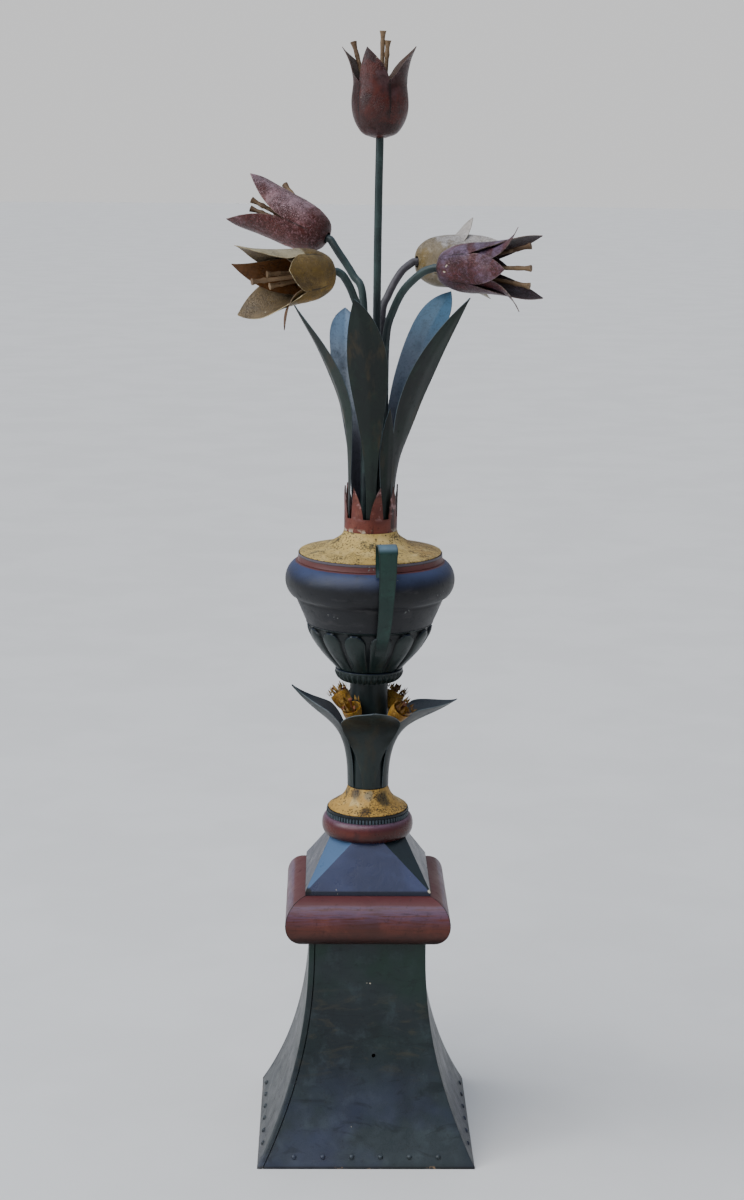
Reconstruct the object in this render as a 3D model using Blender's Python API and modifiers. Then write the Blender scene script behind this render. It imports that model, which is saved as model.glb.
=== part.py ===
"""A painted sheet-metal roof finial, built as separate sheet pieces.

A flared square pedestal carries a square half-round moulding, a broach that
turns the square into an octagon, a round moulding, a stem with leaves and
small flowers, a gadrooned urn with two strap handles, and a crowned collar
that holds a bunch of long leaves and five tulips.  Metres, +Z up, the ground
plane at the pedestal's underside, the camera side towards -Y.
"""

import math

import bpy
from mathutils import Matrix, Vector

# Sheet, clearances and mesh fineness.
SHEET = 0.0010
FIT_GAP = 0.0003
RING_STEPS = 24
TONGUES = 14
URN_STEPS = 2 * TONGUES

# Pedestal: four flared panels, each folded round one corner.
PEDESTAL_SIDE = 0.300
PEDESTAL_NECK_HALF = 0.0803
PEDESTAL_RISE = 0.300
PEDESTAL_FLARE_POWER = 2.3
PEDESTAL_ROWS = 9
FLANGE_WIDTH = 0.0070
HEM_WIDTH = 0.0100
NAIL_HOLE_DIAMETER = 0.0055
NAIL_HOLE_X = 0.0099
NAIL_HOLE_Z = 0.1427

# Square moulding: a half-round strip on each side, mitred at the corners.
MOULDING_HEIGHT = 0.0690
MOULDING_SEAT_Z = PEDESTAL_RISE + 2 * SHEET
MOULDING_REACH = 0.0322
MOULDING_ARC_STEPS = 8
MITRE_GAP = 0.0003

# Broach: square below, octagon above.
BROACH_HALF = 0.0855
BROACH_LIP = 0.0052
BROACH_HEIGHT = 0.0652
BROACH_TOP_Z = MOULDING_SEAT_Z + MOULDING_HEIGHT + BROACH_HEIGHT
OCTAGON_APOTHEM = 0.0520

# Round moulding and the notched band on it.
RING_RADIUS = 0.0633
RING_EDGE_RADIUS = 0.0570
RING_HEIGHT = 0.0262
RING_BORE = 0.0480
BAND_RADIUS = 0.0562
BAND_HEIGHT = 0.0104
BAND_WALL = 0.0015

# Foot skirt and stem tube.
SKIRT_FOOT_Z = BROACH_TOP_Z + RING_HEIGHT + BAND_HEIGHT + 3 * FIT_GAP
SKIRT_RADIUS = 0.0548
SKIRT_EDGE = 0.0012
SKIRT_KINK_RADIUS = 0.0380
SKIRT_KINK_RISE = 0.0120
SKIRT_THROAT_RADIUS = 0.0280
SKIRT_HEIGHT = 0.0305
STEM_RADIUS = 0.0260
STEM_INSET = 0.0143
STEM_LENGTH = 0.1780
STEM_FOOT_Z = SKIRT_FOOT_Z + STEM_INSET
STEM_TOP_Z = STEM_FOOT_Z + STEM_LENGTH

# Leaves on the stem.
STEM_LEAF_LIFT = 0.0013
STEM_LEAF_FOOT_Z = SKIRT_FOOT_Z + SKIRT_HEIGHT + STEM_LEAF_LIFT
STEM_LEAF_WRAP = 0.0203
STEM_LEAF_WAIST = 0.0225
STEM_LEAF_HALF_WIDTH = 0.0370
STEM_LEAF_STATIONS = 9

# Small flowers on the stem; each stands a stated way down from the stem's top.
FLORET_RADIUS = 0.0136
FLORET_LENGTH = 0.0300
FLORET_TOOTH = 0.0050
FLORET_SIDES = 10
FLORET_HEAD_RADIUS = 0.0030

# Crimped band and gadroon cup under the urn.
CRIMP_FOOT_RADIUS = 0.0352
CRIMP_OVERLAP = 0.0130
CRIMP_FOOT_Z = STEM_TOP_Z - CRIMP_OVERLAP
CRIMP_RADIUS = 0.0457
CRIMP_HEIGHT = 0.0197
CRIMP_TOP_Z = CRIMP_FOOT_Z + CRIMP_HEIGHT
CUP_THROAT_RADIUS = 0.0465
CUP_RIM_RADIUS = 0.0868
CUP_HEIGHT = 0.0646
CUP_FOOT_Z = CRIMP_TOP_Z + FIT_GAP
CUP_RIM_Z = CUP_FOOT_Z + CUP_HEIGHT

# Urn bowl, shoulder and collar.
BOWL_FOOT_RADIUS = 0.0864
BOWL_LEDGE = 0.0120
PINCH_RADIUS = 0.0995
PINCH_RISE = 0.0319
PINCH_Z = CUP_RIM_Z + PINCH_RISE
BULGE_RADIUS = 0.1154
BULGE_RISE = 0.0270
BULGE_Z = PINCH_Z + BULGE_RISE
BULGE_DEPTH = 0.0234
BULGE_HALF_HEIGHT = 0.0270
BOWL_RIM_RADIUS = 0.0978
BOWL_RIM_RISE = 0.0365
BOWL_RIM_Z = BULGE_Z + BOWL_RIM_RISE
SHOULDER_RADIUS = 0.0964
SHOULDER_KINK_RADIUS = 0.0578
SHOULDER_KINK_Z = BOWL_RIM_Z + 0.0110
SHOULDER_WAIST_RADIUS = 0.0440
SHOULDER_WAIST_Z = BOWL_RIM_Z + 0.0196
SHOULDER_TOP_RADIUS = 0.0364
SHOULDER_HEIGHT = 0.0306
SHOULDER_TOP_Z = BOWL_RIM_Z + SHOULDER_HEIGHT
COLLAR_RADIUS = 0.0359
COLLAR_BAND = 0.0184
COLLAR_TEETH = 8
COLLAR_TOOTH_RISE = 0.0430
COLLAR_TOOTH_SHARE = 0.66
COLLAR_TURN_DEG = 12.0
COLLAR_FLARE = 0.0012

# Strap handles.
HANDLE_SHEET = 0.0012
HANDLE_TOP_HALF_WIDTH = 0.0135
HANDLE_FOOT_HALF_WIDTH = 0.0092
HANDLE_AZIMUTH_DEG = -80.4
HANDLE_OUTER_RADIUS = 0.1262
HANDLE_INNER_RADIUS = 0.1052
HANDLE_RISE = 0.0300
HANDLE_HOOK_DROP = 0.0140
HANDLE_TOP_Z = BOWL_RIM_Z + HANDLE_RISE
HANDLE_HOOK_Z = BOWL_RIM_Z - HANDLE_HOOK_DROP
HANDLE_FOOT_RADIUS = 0.0755
HANDLE_FOOT_DROP = 0.0366
HANDLE_FOOT_Z = CUP_RIM_Z - HANDLE_FOOT_DROP

# Bunch of long leaves in the collar.
BUNCH_LIFT = 0.0084
BUNCH_FOOT_Z = SHOULDER_TOP_Z + BUNCH_LIFT
BUNCH_LEAF_BASE_HALF = 0.0098
BUNCH_LEAF_HALF_WIDTH = 0.0275
BUNCH_LEAF_CUP = 0.22
BUNCH_LEAF_STATIONS = 9

# Flower stems and tulips.
ROD_RADIUS = 0.0052
ROD_SIDES = 6
TULIP_LENGTH = 0.1180
TULIP_BELLY = 0.0370
TULIP_HOLE = 0.0078
TULIP_INNER_GAP = 0.0040
STAMEN_RADIUS = 0.0016
STAMEN_HEAD_RADIUS = 0.0032
STAMEN_SIDES = 5
STAMEN_HUB_RADIUS = 0.0046

FINAL_NAME = "roof_finial"

PAINTS = {
    "pedestal_green": ((0.034, 0.050, 0.052), 0.42),
    "moulding_red": ((0.156, 0.034, 0.024), 0.45),
    "broach_slate": ((0.060, 0.075, 0.130), 0.35),
    "ring_red": ((0.127, 0.030, 0.024), 0.45),
    "band_black": ((0.012, 0.018, 0.017), 0.50),
    "foot_ochre": ((0.520, 0.330, 0.080), 0.50),
    "stem_green": ((0.018, 0.036, 0.034), 0.42),
    "floret_mustard": ((0.305, 0.155, 0.024), 0.55),
    "urn_black": ((0.022, 0.024, 0.030), 0.38),
    "cup_green": ((0.022, 0.045, 0.042), 0.45),
    "shoulder_ochre": ((0.520, 0.370, 0.130), 0.50),
    "collar_red": ((0.160, 0.040, 0.026), 0.50),
    "handle_green": ((0.022, 0.070, 0.054), 0.40),
    "leaf_green": ((0.018, 0.034, 0.036), 0.40),
    "leaf_blue": ((0.060, 0.120, 0.180), 0.40),
    "tulip_red": ((0.115, 0.036, 0.030), 0.45),
    "tulip_rose": ((0.220, 0.090, 0.120), 0.50),
    "tulip_ochre": ((0.300, 0.190, 0.050), 0.50),
    "tulip_grey": ((0.400, 0.300, 0.170), 0.50),
    "tulip_purple": ((0.180, 0.080, 0.110), 0.45),
    "stamen_buff": ((0.300, 0.200, 0.100), 0.60),
}


def clear_scene():
    for item in list(bpy.data.objects):
        bpy.data.objects.remove(item, do_unlink=True)


def collection(name):
    made = bpy.data.collections.new(name)
    bpy.context.scene.collection.children.link(made)
    return made


def paint(name, slot):
    colour, roughness = PAINTS[slot]
    made = bpy.data.materials.new(name + "_" + slot)
    made.use_nodes = True
    shader = made.node_tree.nodes["Principled BSDF"]
    shader.inputs["Base Color"].default_value = (*colour, 1.0)
    shader.inputs["Roughness"].default_value = roughness
    made.diffuse_color = (*colour, 1.0)
    return made


def add_mesh(name, slot, points, faces, edges=()):
    mesh = bpy.data.meshes.new(name)
    mesh.from_pydata([tuple(p) for p in points], list(edges), list(faces))
    mesh.update()
    mesh.materials.append(paint(name, slot))
    item = bpy.data.objects.new(name, mesh)
    PARTS.objects.link(item)
    return item


def add_cutter(name, points, faces):
    mesh = bpy.data.meshes.new(name)
    mesh.from_pydata([tuple(p) for p in points], [], list(faces))
    mesh.update()
    item = bpy.data.objects.new(name, mesh)
    item.hide_render = True
    item.display_type = "WIRE"
    CUTTERS.objects.link(item)
    return item


def thicken(item, thickness=SHEET):
    """Give an open sheet its thickness, half to each side."""
    shell = item.modifiers.new("sheet", "SOLIDIFY")
    shell.thickness = thickness
    shell.offset = 0.0
    shell.use_even_offset = True
    shell.use_quality_normals = True
    return item


def combine(item, cutter, operation):
    step = item.modifiers.new(operation.lower(), "BOOLEAN")
    step.operation = operation
    step.solver = "EXACT"
    step.object = cutter
    return item


def wall_loop(outer, thickness):
    """Close an outer profile, given top to bottom, with its inner side."""
    count = len(outer)
    inner = []
    for i, (r, z) in enumerate(outer):
        before = Vector(outer[i]) - Vector(outer[max(i - 1, 0)])
        after = Vector(outer[min(i + 1, count - 1)]) - Vector(outer[i])
        units = [v.normalized() for v in (before, after) if v.length > 1e-9]
        normals = [Vector((u.y, -u.x)) for u in units]
        mean = sum(normals, Vector((0.0, 0.0))).normalized()
        stretch = 1.0 / max(mean.dot(normals[0]), 0.45)
        inner.append((r + mean.x * thickness * stretch, z + mean.y * thickness * stretch))
    return list(outer) + inner[::-1]


def lathe(name, slot, outer, steps, thickness=SHEET):
    loop = wall_loop(outer, thickness)
    points = [(r, 0.0, z) for r, z in loop]
    edges = [(i, (i + 1) % len(loop)) for i in range(len(loop))]
    item = add_mesh(name, slot, points, [], edges)
    turn = item.modifiers.new("turn", "SCREW")
    turn.axis = "Z"
    turn.angle = math.tau
    turn.steps = steps
    turn.render_steps = steps
    turn.use_merge_vertices = True
    turn.merge_threshold = 0.00001
    return item


def smooth_through(stations, per_span):
    """Catmull-Rom points through the stations, ends included."""
    points = [Vector(s) for s in stations]
    padded = [2 * points[0] - points[1], *points, 2 * points[-1] - points[-2]]
    made = []
    for i in range(1, len(padded) - 2):
        a, b, c, d = padded[i - 1 : i + 3]
        for k in range(per_span):
            t = k / per_span
            made.append(
                0.5
                * (
                    2 * b
                    + (c - a) * t
                    + (2 * a - 5 * b + 4 * c - d) * t * t
                    + (3 * b - a - 3 * c + d) * t**3
                )
            )
    made.append(points[-1])
    return made


def bezier(p0, p1, p2, p3, count):
    made = []
    for i in range(count):
        t = i / (count - 1)
        u = 1.0 - t
        made.append(p0 * u**3 + p1 * 3 * t * u * u + p2 * 3 * t * t * u + p3 * t**3)
    return made


def polar(azimuth_deg, radius, z):
    a = math.radians(azimuth_deg)
    return Vector((radius * math.cos(a), radius * math.sin(a), z))


def turned(x, y, quarter):
    """A plan point turned by whole quarter turns about the axis."""
    for _ in range(quarter):
        x, y = -y, x
    return x, y


def grid_faces(rows, columns):
    faces = []
    for j in range(rows - 1):
        for i in range(columns - 1):
            a = j * columns + i
            faces.append((a, a + 1, a + columns + 1, a + columns))
    return faces


def pedestal_half(z):
    """Half the pedestal's side at a height."""
    left = max(1.0 - z / PEDESTAL_RISE, 0.0)
    spread = PEDESTAL_SIDE / 2 - PEDESTAL_NECK_HALF
    return PEDESTAL_NECK_HALF + spread * left**PEDESTAL_FLARE_POWER


def base_panels():
    """Each panel covers a face and folds round onto the next one's edge."""
    top = MOULDING_SEAT_Z + MOULDING_HEIGHT - 2 * SHEET
    heights = [
        SHEET / 2 + (PEDESTAL_RISE - SHEET / 2) * (i / PEDESTAL_ROWS) ** 1.15
        for i in range(PEDESTAL_ROWS + 1)
    ]
    heights.append(top)
    start = FLANGE_WIDTH + FIT_GAP + SHEET
    names = ("base_panel_front", "base_panel_right", "base_panel_back", "base_panel_left")
    for quarter, name in enumerate(names):
        points = []
        for z in heights:
            half = pedestal_half(z) - SHEET / 2
            for x, y in ((-half + start, -half), (half, -half), (half, -half + FLANGE_WIDTH)):
                points.append((*turned(x, y, quarter), z))
        faces = grid_faces(len(heights), 3)
        half = pedestal_half(heights[0]) - SHEET / 2
        hem = len(points)
        inner = -half + HEM_WIDTH
        for x in (-half + max(start, HEM_WIDTH) + FIT_GAP + SHEET, half - HEM_WIDTH):
            points.append((*turned(x, inner, quarter), heights[0]))
        faces.append((hem, hem + 1, 1, 0))
        item = thicken(add_mesh(name, "pedestal_green", points, faces))
        if quarter == 0:
            combine(item, nail_hole(), "DIFFERENCE")


def nail_hole():
    sides = 12
    points = []
    for y in (-PEDESTAL_SIDE / 2, 0.0):
        for i in range(sides):
            a = math.tau * i / sides
            x = NAIL_HOLE_X + NAIL_HOLE_DIAMETER / 2 * math.cos(a)
            points.append((x, y, NAIL_HOLE_Z + NAIL_HOLE_DIAMETER / 2 * math.sin(a)))
    faces = [tuple(range(sides)), tuple(range(2 * sides - 1, sides - 1, -1))]
    faces += [(i, i + sides, (i + 1) % sides + sides, (i + 1) % sides) for i in range(sides)]
    return add_cutter("nail_hole_cutter", points, faces)


def moulding_strips():
    middle = MOULDING_SEAT_Z + MOULDING_HEIGHT / 2
    seat = PEDESTAL_NECK_HALF + FIT_GAP
    outer = [(seat, MOULDING_SEAT_Z + MOULDING_HEIGHT)]
    for i in range(MOULDING_ARC_STEPS + 1):
        a = math.radians(80.0 - 160.0 * i / MOULDING_ARC_STEPS)
        flat = MOULDING_HEIGHT / 2 * math.sin(a) / math.sin(math.radians(80.0))
        outer.append((PEDESTAL_NECK_HALF + MOULDING_REACH * math.cos(a), middle + flat))
    outer.append((seat, MOULDING_SEAT_Z))
    loop = wall_loop(outer, SHEET)
    count = len(outer)
    names = (
        "square_moulding_front",
        "square_moulding_right",
        "square_moulding_back",
        "square_moulding_left",
    )
    for quarter, name in enumerate(names):
        points = []
        for side in (-1, 1):
            for half, z in loop:
                points.append((*turned(side * (half - MITRE_GAP), -half, quarter), z))
        size = len(loop)
        faces = [(i, (i + 1) % size, (i + 1) % size + size, i + size) for i in range(size)]
        for i in range(count - 1):
            j = size - 1 - i
            faces.append((i, j, j - 1, i + 1))
            faces.append((size + i, size + i + 1, size + j - 1, size + j))
        add_mesh(name, "moulding_red", points, faces)


def broach():
    seat = MOULDING_SEAT_Z + MOULDING_HEIGHT + FIT_GAP
    half = BROACH_HALF - SHEET / 2
    apothem = OCTAGON_APOTHEM - SHEET / 2
    reach = apothem * math.tan(math.pi / 8)
    points = []
    for z in (seat, seat + BROACH_LIP):
        points += [(*turned(-half, -half, q), z) for q in range(4)]
    for q in range(4):
        points += [(*turned(s * reach, -apothem, q), BROACH_TOP_Z - SHEET / 2) for s in (-1, 1)]
    faces = []
    for q in range(4):
        n = (q + 1) % 4
        faces.append((q, n, n + 4, q + 4))
        faces.append((q + 4, n + 4, 8 + 2 * q + 1, 8 + 2 * q))
        faces.append((n + 4, 8 + 2 * n, 8 + 2 * q + 1))
    thicken(add_mesh("broach", "broach_slate", points, faces))


def round_pieces():
    ring_foot = BROACH_TOP_Z + FIT_GAP
    ring_top = ring_foot + RING_HEIGHT
    middle = (ring_foot + ring_top) / 2
    swell = RING_RADIUS - RING_EDGE_RADIUS
    outer = [(RING_BORE, ring_top), (RING_EDGE_RADIUS, ring_top)]
    for a in (50, 0, -50):
        turn = math.radians(a)
        z = middle + RING_HEIGHT / 2 * math.sin(turn)
        outer.append((RING_EDGE_RADIUS + swell * math.cos(turn), z))
    outer += [(RING_EDGE_RADIUS, ring_foot), (RING_BORE, ring_foot)]
    lathe("round_moulding", "ring_red", outer, RING_STEPS)

    band_foot = ring_top + FIT_GAP
    band_top = band_foot + BAND_HEIGHT
    outer = [(BAND_RADIUS, band_top), (BAND_RADIUS, band_foot)]
    lathe("notched_band", "band_black", outer, RING_STEPS, BAND_WALL)

    skirt_foot = SKIRT_FOOT_Z
    outer = [
        (SKIRT_THROAT_RADIUS, skirt_foot + SKIRT_HEIGHT),
        (SKIRT_THROAT_RADIUS + 2 * SHEET, skirt_foot + 0.80 * SKIRT_HEIGHT),
        ((SKIRT_THROAT_RADIUS + SKIRT_KINK_RADIUS) / 2, skirt_foot + 0.60 * SKIRT_HEIGHT),
        (SKIRT_KINK_RADIUS, skirt_foot + SKIRT_KINK_RISE),
        (SKIRT_RADIUS, skirt_foot + SKIRT_EDGE),
        (SKIRT_RADIUS, skirt_foot),
    ]
    lathe("foot_skirt", "foot_ochre", outer, RING_STEPS)

    outer = [(STEM_RADIUS, STEM_TOP_Z), (STEM_RADIUS, STEM_FOOT_Z)]
    lathe("stem_tube", "stem_green", outer, 20)

    outer = [
        (CRIMP_RADIUS - 3 * SHEET, CRIMP_TOP_Z),
        (CRIMP_RADIUS, CRIMP_TOP_Z - SHEET),
        (0.5 * CRIMP_RADIUS + 0.5 * CRIMP_FOOT_RADIUS + 2 * SHEET, 0.5 * CRIMP_TOP_Z + 0.5 * CRIMP_FOOT_Z),
        (CRIMP_FOOT_RADIUS, CRIMP_FOOT_Z),
        (STEM_RADIUS + 2 * FIT_GAP, CRIMP_FOOT_Z),
    ]
    lathe("crimped_band", "urn_black", outer, RING_STEPS)

    cup_foot = CUP_FOOT_Z
    rise = CUP_HEIGHT
    swell = CUP_RIM_RADIUS - CUP_THROAT_RADIUS
    stations = [
        (CUP_RIM_RADIUS - SHEET, CUP_RIM_Z - 0.09 * rise),
        (CUP_THROAT_RADIUS + 0.90 * swell, CUP_RIM_Z - 0.26 * rise),
        (CUP_THROAT_RADIUS + 0.56 * swell, CUP_RIM_Z - 0.60 * rise),
        (CUP_THROAT_RADIUS, cup_foot + SHEET),
    ]
    outer = [(CUP_RIM_RADIUS, CUP_RIM_Z)]
    outer += [tuple(p) for p in smooth_through(stations, 2)]
    outer += [(CUP_THROAT_RADIUS - 5 * SHEET, cup_foot)]
    lathe("gadroon_cup", "cup_green", outer, URN_STEPS)


def urn():
    bowl_foot = CUP_RIM_Z + FIT_GAP
    centre = BULGE_RADIUS - BULGE_DEPTH
    outer = [(BOWL_RIM_RADIUS, BOWL_RIM_Z), (BOWL_RIM_RADIUS + SHEET, BOWL_RIM_Z - 0.009)]
    for a in (72, 48, 24, 0, -24, -48):
        turn = math.radians(a)
        r = centre + BULGE_DEPTH * math.cos(turn)
        outer.append((r, BULGE_Z + BULGE_HALF_HEIGHT * math.sin(turn)))
    outer += [
        (PINCH_RADIUS, PINCH_Z),
        (BOWL_FOOT_RADIUS, bowl_foot),
        (BOWL_FOOT_RADIUS - BOWL_LEDGE, bowl_foot),
    ]
    lathe("urn_bowl", "urn_black", outer, URN_STEPS)

    foot = BOWL_RIM_Z + FIT_GAP
    rise = SHOULDER_TOP_Z - SHOULDER_WAIST_Z
    outer = [
        (SHOULDER_TOP_RADIUS - 2 * SHEET, SHOULDER_TOP_Z),
        (SHOULDER_TOP_RADIUS, SHOULDER_TOP_Z - SHEET),
        (SHOULDER_TOP_RADIUS + 2 * SHEET, SHOULDER_WAIST_Z + 0.45 * rise),
        (SHOULDER_WAIST_RADIUS, SHOULDER_WAIST_Z),
        (SHOULDER_KINK_RADIUS, SHOULDER_KINK_Z),
        (SHOULDER_RADIUS, foot + 1.6 * SHEET),
        (SHOULDER_RADIUS, foot),
    ]
    lathe("urn_shoulder", "shoulder_ochre", outer, RING_STEPS)


def collar():
    """A short tube whose top edge is cut into pointed teeth."""
    foot = SHOULDER_TOP_Z + FIT_GAP
    band_top = foot + COLLAR_BAND
    mid = COLLAR_RADIUS - SHEET / 2
    pitch = 360.0 / COLLAR_TEETH
    half = pitch * COLLAR_TOOTH_SHARE / 2
    points = []
    around = []
    for k in range(COLLAR_TEETH):
        for off in (-half, 0.0, half):
            around.append(COLLAR_TURN_DEG - 90.0 + k * pitch + off)
    for z in (foot, band_top):
        points += [polar(a, mid, z) for a in around]
    count = len(around)
    faces = [(i, (i + 1) % count, (i + 1) % count + count, i + count) for i in range(count)]
    for k in range(COLLAR_TEETH):
        base = count + 3 * k
        middle = around[3 * k + 1]
        first = len(points)
        z = band_top + 0.55 * COLLAR_TOOTH_RISE
        for off in (-half * 0.52, 0.0, half * 0.52):
            points.append(polar(middle + off, mid + 0.4 * COLLAR_FLARE, z))
        points.append(polar(middle, mid + COLLAR_FLARE, band_top + COLLAR_TOOTH_RISE))
        faces.append((base, base + 1, first + 1, first))
        faces.append((base + 1, base + 2, first + 2, first + 1))
        faces.append((first, first + 1, first + 3))
        faces.append((first + 1, first + 2, first + 3))
    thicken(add_mesh("collar", "collar_red", points, faces))


def strap(name, slot, azimuth_deg, path, widths, thickness):
    """A flat strap along a path of (radius, height) in one radial plane."""
    a = math.radians(azimuth_deg)
    side = Vector((-math.sin(a), math.cos(a), 0.0))
    points = []
    for (r, z), half in zip(path, widths):
        middle = polar(azimuth_deg, r, z)
        points += [middle - side * half, middle + side * half]
    return thicken(add_mesh(name, slot, points, grid_faces(len(path), 2)), thickness)


def handles():
    inner = HANDLE_INNER_RADIUS
    outer = HANDLE_OUTER_RADIUS
    top = HANDLE_TOP_Z
    clear = BULGE_RADIUS + 2 * HANDLE_SHEET
    path = [
        (inner + 0.0052, HANDLE_HOOK_Z),
        (inner + 0.0012, HANDLE_HOOK_Z + 0.0120),
        (inner, HANDLE_HOOK_Z + 0.0300),
        (inner + 0.0016, top - 0.0045),
        (inner + 0.0060, top),
        (outer - 0.0060, top - 0.0016),
        (outer - 0.0010, top - 0.0060),
        (outer, top - 0.0150),
        (outer - 0.0015, top - 0.0400),
        (clear + 0.0015, BULGE_Z),
        (PINCH_RADIUS + 0.0135, PINCH_Z),
        (CUP_RIM_RADIUS + 0.0120, CUP_RIM_Z),
        (CUP_RIM_RADIUS + 0.0015, CUP_RIM_Z - 0.0150),
        (HANDLE_FOOT_RADIUS + 0.0045, HANDLE_FOOT_Z + 0.0090),
        (HANDLE_FOOT_RADIUS, HANDLE_FOOT_Z),
    ]
    widths = []
    for i in range(len(path)):
        share = max(i - 6, 0) / (len(path) - 7)
        widths.append(
            HANDLE_TOP_HALF_WIDTH * (1 - share) + HANDLE_FOOT_HALF_WIDTH * share
        )
    for name, turn in (("handle_front", 0.0), ("handle_back", 180.0)):
        strap(name, "handle_green", HANDLE_AZIMUTH_DEG + turn, path, widths, HANDLE_SHEET)


def blade(name, slot, spine, outward, half_widths, wraps, fold, columns):
    """A leaf: a strip along its spine, wrapped at the foot and folded above."""
    points = []
    last = len(spine) - 1
    for j, middle in enumerate(spine[:-1]):
        along = (spine[min(j + 1, last)] - spine[max(j - 1, 0)]).normalized()
        side = along.cross(outward[j]).normalized()
        normal = side.cross(along).normalized()
        for i in range(columns):
            t = -1.0 + 2.0 * i / (columns - 1)
            u = t * half_widths[j]
            angle = u / wraps[j][0]
            round_side = wraps[j][0] * math.sin(angle)
            round_drop = wraps[j][0] * (1.0 - math.cos(angle))
            share = wraps[j][1]
            across = round_side * (1 - share) + u * math.cos(math.atan(fold)) * share
            drop = round_drop * (1 - share) + abs(u) * fold * share
            points.append(middle + side * across - normal * drop)
    rows = last
    faces = grid_faces(rows, columns)
    points.append(spine[-1])
    tip = len(points) - 1
    base = (rows - 1) * columns
    faces += [(base + i, base + i + 1, tip) for i in range(columns - 1)]
    return thicken(add_mesh(name, slot, points, faces))


def ease(x):
    x = min(max(x, 0.0), 1.0)
    return x * x * (3 - 2 * x)


def blade_width(s, base, widest, at, sharp):
    """Half-width along a leaf: grows to its widest, then runs to a point."""
    if s < at:
        return base + (widest - base) * ease(s / at)
    return widest * max(1.0 - ((s - at) / (1.0 - at)) ** sharp, 0.0)


# Leaves on the stem: azimuth, tip, the pull of the curve into the tip, fold.
STEM_LEAVES = {
    "stem_leaf_front": dict(
        azimuth=-91.3, reach=0.1120, tip_rise=0.1200, hold=0.0820, pull=(0.0500, 0.0020),
        fold=0.30),
    "stem_leaf_right": dict(
        azimuth=-1.3, reach=0.1215, tip_rise=0.1225, hold=0.0640, pull=(0.0530, 0.0360),
        fold=0.62),
    "stem_leaf_back": dict(
        azimuth=88.7, reach=0.1080, tip_rise=0.1380, hold=0.0760, pull=(0.0460, 0.0380),
        fold=0.36),
    "stem_leaf_left": dict(
        azimuth=178.7, reach=0.1060, tip_rise=0.1400, hold=0.0700, pull=(0.0450, 0.0480),
        fold=0.46),
}


def stem_leaves():
    foot_r = STEM_RADIUS + SHEET / 2 + 5 * FIT_GAP
    for name, leaf in STEM_LEAVES.items():
        foot = Vector((foot_r, STEM_LEAF_FOOT_Z))
        tip = Vector((leaf["reach"], STEM_LEAF_FOOT_Z + leaf["tip_rise"]))
        hold = foot + Vector((0.0, leaf["hold"]))
        pull = tip - Vector(leaf["pull"])
        flat = bezier(foot, hold, pull, tip, STEM_LEAF_STATIONS)
        spine = [polar(leaf["azimuth"], p.x, p.y) for p in flat]
        outward = [polar(leaf["azimuth"], 1.0, -0.3) for _ in flat]
        widths = []
        wraps = []
        for j in range(len(flat)):
            s = j / (len(flat) - 1)
            narrow = STEM_LEAF_WRAP + (STEM_LEAF_WAIST - STEM_LEAF_WRAP) * ease(s / 0.35)
            widths.append(
                narrow
                if s < 0.35
                else blade_width((s - 0.35) / 0.65, STEM_LEAF_WAIST, STEM_LEAF_HALF_WIDTH, 0.48, 1.35)
            )
            wraps.append((foot_r, ease((s - 0.30) / 0.30)))
        blade(name, "stem_green", spine, outward, widths, wraps, leaf["fold"], 5)


FLORETS = {
    "floret_front_left": dict(azimuth=-123.0, foot_r=0.0345, down=0.0630, mouth_r=0.0480),
    "floret_front_right": dict(azimuth=-38.5, foot_r=0.0400, down=0.0615, mouth_r=0.0610),
    "floret_back_right": dict(azimuth=36.9, foot_r=0.0330, down=0.0580, mouth_r=0.0500),
    "floret_back_left": dict(azimuth=143.7, foot_r=0.0350, down=0.0580, mouth_r=0.0540),
}


def frame_of(axis, roll_deg):
    """Two directions square to an axis; roll zero faces the camera side."""
    toward = Vector((0.0, -1.0, 0.0))
    if abs(axis.dot(toward)) > 0.95:
        toward = Vector((0.0, 0.0, 1.0))
    first = (toward - axis * toward.dot(axis)).normalized()
    second = axis.cross(first)
    a = math.radians(roll_deg)
    return (
        first * math.cos(a) + second * math.sin(a),
        second * math.cos(a) - first * math.sin(a),
    )


def florets():
    """Small bells with a toothed rim and one stamen, turned in one piece."""
    r = FLORET_RADIUS
    wall = 0.0009
    length = FLORET_LENGTH
    for name, place in FLORETS.items():
        run = place["mouth_r"] - place["foot_r"]
        rise = math.sqrt(length**2 - run**2)
        foot_z = STEM_TOP_Z - place["down"]
        foot = polar(place["azimuth"], place["foot_r"], foot_z)
        mouth = polar(place["azimuth"], place["mouth_r"], foot_z + rise)
        axis = (mouth - foot).normalized()
        u, v = frame_of(axis, 0.0)
        outer = [(0.50 * r, 0.06 * length), (0.80 * r, 0.30 * length), (0.93 * r, 0.62 * length)]
        inner = [(x - wall, z + wall * 0.6) for x, z in outer[::-1]]
        rod = 0.0013
        head = FLORET_HEAD_RADIUS
        rings = outer + [(r, length), (r - wall, length)] + inner
        rings += [(rod, 0.13 * length), (rod, 1.02 * length), (head, 1.20 * length)]
        points = [foot]
        for k, (radius, along) in enumerate(rings):
            for i in range(FLORET_SIDES):
                a = math.tau * i / FLORET_SIDES
                lift = FLORET_TOOTH * (i % 2) if k in (3, 4) else 0.0
                centre = foot + axis * (along + lift)
                points.append(centre + (u * math.cos(a) + v * math.sin(a)) * radius)
        points.append(foot + axis * (1.20 * length))
        end = len(points) - 1
        n = FLORET_SIDES
        faces = []
        for i in range(n):
            nxt = (i + 1) % n
            faces.append((0, 1 + nxt, 1 + i))
            for k in range(len(rings) - 1):
                a = 1 + k * n
                faces.append((a + i, a + nxt, a + n + nxt, a + n + i))
            a = 1 + (len(rings) - 1) * n
            faces.append((a + i, a + nxt, end))
        add_mesh(name, "floret_mustard", points, faces)


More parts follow.
